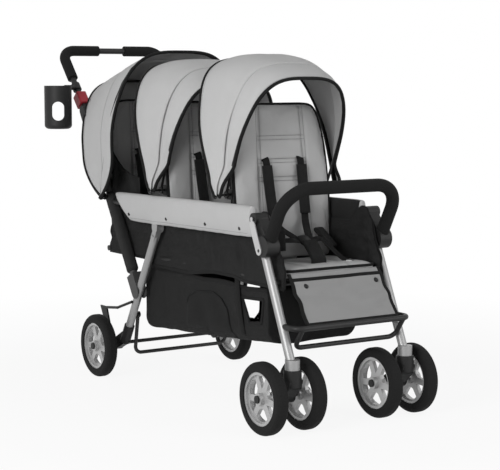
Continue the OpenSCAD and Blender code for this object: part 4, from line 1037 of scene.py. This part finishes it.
def postCover(name, side):
    post, rings = coverLook["post"], []
    for i in range(coverLook["rows"]):
        t = i / (coverLook["rows"] - 1)
        z = lerp(coverLook["low"], coverLook["high"], t)
        x = post["x"] - (z - post["z"]) * post["run"] / post["rise"]
        close = min(1.0, 0.75 + 9 * t, 0.62 + 6 * (1 - t))
        ring = []
        for a, c, s in turns(coverLook["cols"]):
            soft = 1 + 0.05 * wobble(t * 9, a, side * 3) + 0.03 * math.sin(t * 60 + 3 * wobble(t * 5, a * 2, side))
            across = bowed(c, 0.7) * coverLook["wide"] * close * soft
            y = bowed(s, 0.7) * coverLook["deep"] * min(1.0, close * 1.1)
            ring.append(Vector((x + across * post["rise"], side * coverLook["y"] + y, z + across * post["run"])))
        rings.append(ring)
    return loft(name, rings, "cover")


for word, side in hands.items():
    ridesAs(postCover("post_cover_" + word, side), "black_cloth")
print("post covers made")


# rear of the third seat: black cloth from its frame down to the tail bar, a curtain up to the hood and two low wings
hoopLook = {"half": 0.157, "bend": 0.095, "tall": 0.431, "behind": -0.0085}
rearLook = {"thick": 0.0018, "hemR": 0.0026,
            "tail": {"half": 0.158, "top": 0.16, "bar": (-0.096, 0.424)},
            "curtain": {"half": 0.146, "arc": (38, 142), "in": -0.004, "behind": 0.006},
            "wing": {"foot": (-0.088, 0.118), "footY": 0.1715, "footZ": 0.596, "front": (0.112, 0, 0.664),
                     "headUp": 0.31, "headOut": 0.004, "headY": 0.168, "dip": 0.03}}
onLastBack = backPlace(seatPlaces[3])


def hoopHeight(y):
    # height of the back frame's bar at a place across the seat
    bend, tall = hoopLook["bend"], hoopLook["tall"]
    over = abs(y) - (hoopLook["half"] - bend)
    return tall if over <= 0 else tall - bend + math.sqrt(max(0.0, bend ** 2 - over ** 2))


def tailPoint(k, t):
    look = rearLook["tail"]
    y = lerp(-look["half"], look["half"], t)
    p = onLastBack((y, look["top"], hoopLook["behind"])).lerp(Vector((look["bar"][0], y, look["bar"][1])), k)
    p.x += math.sin(math.pi * k) * (0.004 * math.sin(y * 55 + 2 * k) + 0.004 * wobble(y * 12, k * 3, 5.0))
    return p


def curtainPoint(k, t):
    look, hood = rearLook["curtain"], hoodSizes[3]
    top = leafPoint(hood, hood["lean"][1], lerp(*look["arc"], t), look["in"])
    y = lerp(-look["half"], look["half"], t)
    p = top.lerp(onLastBack((y, hoopHeight(y), hoopLook["behind"] - look["behind"])), k)
    p.x += math.sin(math.pi * k) * (0.006 + 0.003 * math.sin(t * 25) + 0.003 * wobble(t * 7, k * 2, 8.0))
    return p


def wingPoint(side):
    look = rearLook["wing"]

    def at(k, t):
        foot = Vector((lerp(*look["foot"], t), side * look["footY"], look["footZ"]))
        head = onLastBack((0, look["headUp"], look["headOut"])).lerp(Vector(look["front"]), t)
        head = Vector((head.x, side * look["headY"], head.z - look["dip"] * math.sin(math.pi * t)))
        p = foot.lerp(head, k)
        soft = 0.003 + 0.003 * math.sin(t * 16) + 0.002 * wobble(t * 6, k * 4, side * 4.0)
        p.y -= side * math.sin(math.pi * k) * soft
        return p
    return at


# name, rows and columns, points, finish, what it rests on, slot, row with the hem
rearCloths = [("tail_cloth", (24, 40), tailPoint, "black", ["seat_back_frames", "seat_frame"], "black_cloth", 0),
              ("hood_curtain", (20, 48), curtainPoint, "lining", ["rear_bows", "seat_back_frames"], "hood_cloth", 0)]
rearCloths += [("seat_wing_" + word, (20, 30), wingPoint(side), "black", ["seat_back_frames", "rail_sleeve_" + word],
                "black_cloth", -1) for word, side in hands.items()]
rearGrids = {name: gridOf(*size, at) for name, size, at, *_ in rearCloths}
rearPieces = {name: gridPiece(name, rearGrids[name], finish) for name, _, _, finish, *_ in rearCloths}
for name, _, _, _, rests, slot, hemRow in rearCloths:
    grid, piece = rearGrids[name], thicken(rearPieces[name], rearLook["thick"])
    hem = sweep(name + "_hem", grid[hemRow], roundSection(rearLook["hemR"]), "piping")
    flatSize(grid)
    areaOf(grid)
    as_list(rests)
    ridesAs(piece, slot)
    ridesAs(hem, "black_cloth")
print("rear cloth made")


# basket: a lofted bag that sags between its straps, open at the top, with a window and a patch in each side
basketLook = {"first": 0.136, "last": 0.848, "half": 0.162, "rim": 0.380, "floor": (0.171, 0.224), "corner": 0.045,
              "rows": 120, "wall": 22, "turn": 10, "flat": 26, "across": 18, "thick": 0.0024, "flatSize": (0.78, 0.80),
              "window": {"right": [(0.708, 0.346), (0.825, 0.352), (0.814, 0.281), (0.751, 0.272)],
                         "left": [(0.200, 0.322), (0.338, 0.326), (0.332, 0.198), (0.214, 0.192)]},
              "windowIn": 0.0035, "windowTuck": (0.222, 0.9),
              "strap": ((0.691, 0.1655, 0.41), (0.700, 0.1665, 0.34), (0.712, 0.1655, 0.279), (0.716, 0.158, 0.235)),
              "patch": ((0.397, 0.290), (0.410, 0.312), (0.453, 0.332), (0.552, 0.342), (0.600, 0.326), (0.631, 0.297),
                        (0.655, 0.215)),
              "patchSize": (44, 22), "patchLow": 0.2, "patchLift": 0.022, "patchOut": 0.0026, "patchThick": 0.0016,
              "rimTape": (0.014, 0.005), "windowTape": (0.012, 0.007), "strapTape": (0.025, 0.0018), "hemR": 0.0028}


def basketRing(t):
    # right rim, down, across and up to the left rim at one place along the bag
    x = lerp(basketLook["first"], basketLook["last"], t)
    floor = lerp(*basketLook["floor"], t)
    half, rim, corner = basketLook["half"], basketLook["rim"], basketLook["corner"]
    wall, turn, flat = basketLook["wall"], basketLook["turn"], basketLook["flat"]
    outline = [(-half, lerp(rim, floor + corner, k / wall)) for k in range(wall)]
    for k in range(turn):
        a = math.pi / 2 * k / turn
        outline.append((-half + corner - corner * math.cos(a), floor + corner - corner * math.sin(a)))
    outline += [(lerp(-half + corner, half - corner, k / flat), floor) for k in range(flat + 1)]
    outline += [(-y, z) for y, z in reversed(outline[:wall + turn])]
    ring = []
    for y, z in outline:
        up = (z - floor) / (rim - floor)
        belly = math.sin(math.pi * clamped(up)) * 0.7
        fold = wobble(x * 13, y * 9, z * 15) + 0.5 * wobble(x * 34, y * 20, z * 30 + 4)
        ridge = math.sin(x * 52 + 5 * up + math.copysign(1.0, y))
        if abs(y) > half - corner:
            y -= math.copysign(0.0035 * belly * (0.5 + 0.5 * ridge) + 0.0025 * belly * fold + 0.002, y)
        z += 0.0035 * fold * (1 if up < 0.1 else 0.3)
        if up < 0.05:
            z -= 0.006 * math.sin(math.pi * (y + half) / (2 * half)) * math.sin(math.pi * t)
        z -= 0.005 * math.sin(math.pi * t * 3) ** 2 * max(0, up - 0.75) * 4
        ring.append(Vector((x, y, z)))
    return ring


def insideShape(px, pz, shape):
    inside = False
    for (ax, az), (bx, bz) in zip(shape, shape[1:] + shape[:1]):
        if (az > pz) != (bz > pz) and px < (bx - ax) * (pz - az) / (bz - az) + ax:
            inside = not inside
    return inside


def basketBag(rings):
    cols, side, across = len(rings[0]), basketLook["wall"] + basketLook["turn"], basketLook["across"]
    faces = []
    for i in range(len(rings) - 1):
        for j in range(cols - 1):
            mid = (rings[i][j] + rings[i + 1][j + 1]) / 2
            word = "right" if j < side else "left" if j > cols - 2 - side else None
            if word and insideShape(mid.x, mid.z, basketLook["window"][word]):
                continue
            faces.append((i * cols + j, (i + 1) * cols + j, (i + 1) * cols + j + 1, i * cols + j + 1))
    verts, uvs = [p for ring in rings for p in ring], gridUv(rings)
    # end walls close the bag at both ends
    for end in (0, len(rings) - 1):
        ring, start = rings[end], len(verts)
        for j in range(cols // 2 + 1):
            a, b = ring[j], ring[cols - 1 - j]
            for m in range(1, across):
                p = a.lerp(b, m / across)
                p.x += 0.003 * wobble(p.y * 14, p.z * 14, end)
                verts.append(p)
                uvs.append((m / across * (b - a).length, j * 0.008))

        def at(j, m):
            if m in (0, across):
                return end * cols + (j if m == 0 else cols - 1 - j)
            return start + j * (across - 1) + m - 1
        for j in range(side):
            for m in range(across):
                quad = (at(j, m), at(j, m + 1), at(j + 1, m + 1), at(j + 1, m))
                faces.append(quad if end else tuple(reversed(quad)))
    bag = reshaped(newPiece("basket_bag", verts, faces, "black", uvs), dropLoose, faceOut)
    return thicken(bag, basketLook["thick"])


def basketPatch(name, side, rings):
    # a pocket of lighter cloth, sewn on the outside of the wall
    first, last, table = basketLook["first"], basketLook["last"], basketLook["patch"]
    count, (rows, cols) = basketLook["wall"] + basketLook["turn"], basketLook["patchSize"]

    def at(k, t):
        x = lerp(table[0][0], table[-1][0], k)
        ring = rings[round((x - first) / (last - first) * (len(rings) - 1))]
        wall = ring[:count] if side < 0 else list(reversed(ring))[:count]
        low = max(wall[-1].z + basketLook["patchLift"], basketLook["patchLow"])
        z = lerp(between(table, x), low, t)
        near = min(wall[:-1], key=lambda p: abs(p.z - z))
        return Vector((x, near.y + side * (basketLook["patchOut"] + 0.0012 * wobble(x * 20, z * 20, side)), z))
    grid = gridOf(rows, cols, at)
    for _ in range(3):
        for i in range(1, rows - 1):
            for k in range(1, cols - 1):
                near = (grid[i - 1][k], grid[i + 1][k], grid[i][k - 1], grid[i][k + 1])
                grid[i][k].y = sum(p.y for p in near) / 4
    return thicken(gridPiece(name, grid, "net"), basketLook["patchThick"]), grid


def windowLoop(word, side):
    level, tuck = basketLook["windowTuck"]
    corners, loop = basketLook["window"][word], []
    for (ax, az), (bx, bz) in zip(corners, corners[1:] + corners[:1]):
        for k in range(12):
            z = lerp(az, bz, k / 12)
            y = basketLook["half"] - basketLook["windowIn"] - tuck * max(0.0, level - z)
            loop.append(Vector((lerp(ax, bx, k / 12), side * y, z)))
    return loop


rings = [basketRing(i / (basketLook["rows"] - 1)) for i in range(basketLook["rows"])]
bag = basketBag(rings)
bindings = []
for word, side in hands.items():
    out = Vector((0, side, 0))
    strap = smoothPath([(x, side * y, z) for x, y, z in basketLook["strap"]], 12)
    for name, path, tape, finish in (("rim", [ring[0 if side < 0 else -1] for ring in rings], "rimTape", "piping"),
                                     ("window", windowLoop(word, side), "windowTape", "piping"),
                                     ("strap", strap, "strapTape", "web")):
        bindings.append(sweep("basket_%s_%s" % (name, word), path, flatSection(*basketLook[tape]), finish, out,
                              closed=name == "window"))
    patch, grid = basketPatch("basket_patch_" + word, side, rings)
    hem = sweep("basket_patch_hem_" + word, [row[0] for row in grid], roundSection(basketLook["hemR"]), "piping")
    bindings += [patch, hem]
basketLook["flatSize"]
ridesAs(bag, "black_cloth", node="basket")
for piece in bindings:
    ridesAs(piece, "black_cloth")
print("basket made")


# calf panel under the front seat: cloth with cross folds, bound edges and two snaps
calfLook = {"top": (0.948, 0.439), "low": (1.043, 0.308), "half": 0.158, "rows": 40, "cols": 60, "thick": 0.0024,
            "face": (0.81, 0, 0.587), "fold": 0.0042, "tape": (0.012, 0.0052), "topRow": 5, "flatSize": (0.32, 0.168),
            "snaps": ((0.974, -0.116, 0.4055), (0.974, 0.133, 0.4055)), "snapR": 0.0075, "snapTall": 0.0018}
calfFace = Vector(calfLook["face"])


def calfPoint(k, t):
    y = lerp(-calfLook["half"], calfLook["half"], t)
    x, z = (lerp(calfLook["top"][i], calfLook["low"][i], k) for i in (0, 1))
    fold = 0.7 * math.sin(k * 9 + 14 * abs(y) + 2.5 * wobble(y * 7, k * 2, 1.0)) + 1.1 * wobble(y * 12, k * 4, 2.0)
    return Vector((x, y, z)) + calfFace * (calfLook["fold"] * math.sin(math.pi * k) * fold)


grid = gridOf(calfLook["rows"], calfLook["cols"], calfPoint)
calf = thicken(gridPiece("calf_sheet", grid, "calf"), calfLook["thick"])
lines = {"right": [row[0] for row in grid], "left": [row[-1] for row in grid], "top": grid[calfLook["topRow"]],
         "low": grid[-1]}
edges = [sweep("calf_binding_" + word, line, flatSection(*calfLook["tape"]), "piping", calfFace)
         for word, line in lines.items()]
snaps = domeSet("calf_snaps", calfLook["snaps"], calfLook["face"], calfLook["snapR"], calfLook["snapTall"], "gloss")
calfLook["flatSize"]
areaOf(grid)
ridesAs(calf, "seat_cloth", node="calf_panel")
for piece in edges + [snaps]:
    ridesAs(piece, "black_cloth")
print("calf panel made")


# harness on each seat: paths run through points on the seat back (y, up, out), from the seat's corner or from the hub
# up is the (x, z) of the strap's face, and upEnd its z at the far end
harnessLook = {
    "hub": (0.080, 0.0, 0.512), "tilt": 28.0,
    "paired": [
        {"name": "strap", "finish": "web", "section": (0.025, 0.0022), "steps": 12, "up": (1.0, 0.12), "upEnd": 1.6,
         "path": [("back", 0.064, 0.286, 0.018), ("back", 0.062, 0.268, 0.031), ("back", 0.060, 0.15, 0.037),
                  ("back", 0.052, 0.085, 0.050), ("hub", -0.012, 0.024, 0.006)]},
        {"name": "pad", "finish": "black", "section": (0.036, 0.009, 6), "steps": 12, "up": (1.0, 0.14),
         "path": [("back", 0.0625, 0.262, 0.033), ("back", 0.061, 0.19, 0.037), ("back", 0.058, 0.115, 0.043)]},
        {"name": "strap", "finish": "web", "section": (0.025, 0.0022), "steps": 10, "up": (0.5, 1.0),
         "path": [("seat", -0.010, 0.146, 0.497), ("seat", 0.03, 0.122, 0.510), ("hub", -0.002, 0.060, 0.004),
                  ("hub", 0, 0.021, 0)]},
        {"name": "wing", "finish": "black", "section": (0.074, 0.013, 6), "steps": 12, "up": (1.0, 0.75),
         "path": [("seat", -0.004, 0.143, 0.498), ("seat", 0.03, 0.122, 0.511), ("hub", -0.006, 0.066, 0.005)]}],
    "single": [
        {"name": "crotch", "finish": "black", "section": (0.052, 0.012, 6), "steps": 10, "up": (1.0, 0.8),
         "path": [("seat", 0.150, 0, 0.449), ("seat", 0.146, 0, 0.468), ("hub", 0.034, 0, -0.012), ("hub", 0.018, 0, 0)]},
        {"name": "loose", "finish": "web", "section": (0.022, 0.002), "steps": 10, "up": (0.7, 1.0),
         "path": [("hub", 0.006, 0.055, 0.006), ("seat", 0.118, 0.078, 0.482), ("seat", 0.140, 0.096, 0.4585),
                  ("seat", 0.152, 0.104, 0.4545)]}],
    "tip": {"name": "tip", "finish": "steel", "section": (0.024, 0.0034), "steps": 6, "up": (0, 1.0),
            "past": (0.012, 0.008, -0.0008)},
    "buckle": {"rows": 10, "cols": 28, "half": (0.024, 0.020), "tall": 0.016},
}


def strapAlong(look, points):
    path = smoothPath(points, look["steps"])
    x, z = look["up"]
    last = len(path) - 1
    ups = [Vector((x, 0, lerp(z, look.get("upEnd", z), (i / last) ** 2))) for i in range(last + 1)]
    return sweep(look["name"], path, flatSection(*look["section"]), look["finish"], ups), path


def buckle(place, tilt):
    # rounded shell: a squircle in plan, crowned
    look, rings = harnessLook["buckle"], []
    for i in range(look["rows"]):
        h = -0.5 + i / (look["rows"] - 1)
        size = math.sqrt(max(0.02, 1 - (abs(h) * 2) ** 3.2))
        ring = []
        for _, c, s in turns(look["cols"]):
            r = size * (abs(c) ** 4 + abs(s) ** 4) ** -0.25
            ring.append(place + tilt @ Vector((look["half"][0] * r * c, look["half"][1] * r * s, h * look["tall"])))
        rings.append(ring)
    return loft("buckle", rings, "gloss")


def harness(name, corner):
    onBack, parts = backPlace(corner), []
    hub = Vector((corner, 0.0, 0.0)) + Vector(harnessLook["hub"])

    def points(look, side):
        for kind, a, b, c in look["path"]:
            if kind == "back":
                yield onBack((side * a, b, c))
            else:
                yield (hub if kind == "hub" else Vector((corner, 0.0, 0.0))) + Vector((a, side * b, c))
    for side in hands.values():
        parts += [strapAlong(look, points(look, side))[0] for look in harnessLook["paired"]]
    for look in harnessLook["single"]:
        strap, path = strapAlong(look, points(look, 1))
        parts.append(strap)
    tip = harnessLook["tip"]   # steel end of the loose strap
    parts.append(strapAlong(tip, [path[-2], path[-1], path[-1] + Vector(tip["past"])])[0])
    parts.append(buckle(hub, Matrix.Rotation(math.radians(harnessLook["tilt"]), 3, "Y")))
    return joined(name, parts)


for seat, corner in seatPlaces.items():
    ridesAs(harness("harness_%d" % seat, corner), "black_cloth", node="harnesses")
print("harnesses made")


# camera at the photograph's place; the photograph's frame is 500 by 470
viewLook = {"place": (4.358, -2.533, 1.000), "azimuth": 56.64, "down": 6.17, "lens": 107.35}
eye = bpy.data.cameras.new("camera")
eye.lens, eye.sensor_width, eye.sensor_fit = viewLook["lens"], 36.0, "HORIZONTAL"
eye.clip_start, eye.clip_end = 0.05, 60.0
camera = linked("camera", eye)
camera.location = viewLook["place"]
camera.rotation_euler = (math.radians(90 - viewLook["down"]), 0.0, math.radians(viewLook["azimuth"]))
scene.camera = camera
scene.view_settings.view_transform = "Standard"

# soft studio: a large key from the right, a weaker fill and a top light
lampAim = Vector((0.45, 0.0, 0.5))
lampLook = {
    "key": {"place": (2.6, -4.6, 2.0), "size": 2.6, "power": 174.0},
    "fill": {"place": (4.8, 2.2, 1.9), "size": 3.0, "power": 72.0},
    "top": {"place": (0.2, 0.0, 4.6), "size": 3.4, "power": 5.0},
}
for name, look in lampLook.items():
    lamp = bpy.data.lights.new(name, "AREA")
    lamp.energy, lamp.size = look["power"], look["size"]
    holder = linked(name, lamp)
    holder.location = look["place"]
    holder.rotation_euler = (lampAim - Vector(look["place"])).to_track_quat("-Z", "Y").to_euler()


# 1 for what the camera, metal and glass see, 0 for the light on the object
def seenRays(b):
    rays = b.add("ShaderNodeLightPath")
    return rays["Is Camera Ray"].most(rays["Is Glossy Ray"]).most(rays["Is Transmission Ray"])


stageLook = {"light": 0.3, "white": 1.0, "floor": 0.93, "half": 30.0, "centre": 0.5, "near": 0.9, "reach": 1.4,
             "shadow": 0.1}
white = (1, 1, 1, 1)
scene.world = bpy.data.worlds.new("studio")
b = Bench(scene.world)
light, seen = (b.add("ShaderNodeBackground", {}, {"Color": white, "Strength": stageLook[key]})["Background"]
               for key in ("light", "white"))
both = b.add("ShaderNodeMixShader", {}, {0: seenRays(b), 1: light, 2: seen})["Shader"]
b.add("ShaderNodeOutputWorld", {}, {"Surface": both})

# pale floor: white to the camera, with a faint shadow left near the wheels
b, spot = newBench("studio_floor")
soft = b.add("ShaderNodeBsdfDiffuse", {}, {"Color": tone(stageLook["floor"])})["BSDF"]
glow = b.add("ShaderNodeEmission", {}, {"Color": white, "Strength": stageLook["white"]})["Emission"]
fx, fy, _ = b.parts(spot)
away = ((fx - stageLook["centre"]) ** 2.0 + fy ** 2.0) ** 0.5
far = ((away - stageLook["near"]) / stageLook["reach"]).most(0.0).least(1.0)
glowing = seenRays(b) * (1 - stageLook["shadow"] + far * stageLook["shadow"])
both = b.add("ShaderNodeMixShader", {}, {0: glowing, 1: soft, 2: glow})["Shader"]
b.add("ShaderNodeOutputMaterial", {}, {"Surface": both})
floorMesh = bpy.data.meshes.new("floor")
corners = [(x * stageLook["half"], y * stageLook["half"], 0) for x, y in ((-1, -1), (1, -1), (1, 1), (-1, 1))]
floorMesh.from_pydata(corners, [], [(0, 1, 2, 3)])
floorMesh.materials.append(b.owner)
floor = linked("floor", floorMesh)
print("camera, lights and floor set")
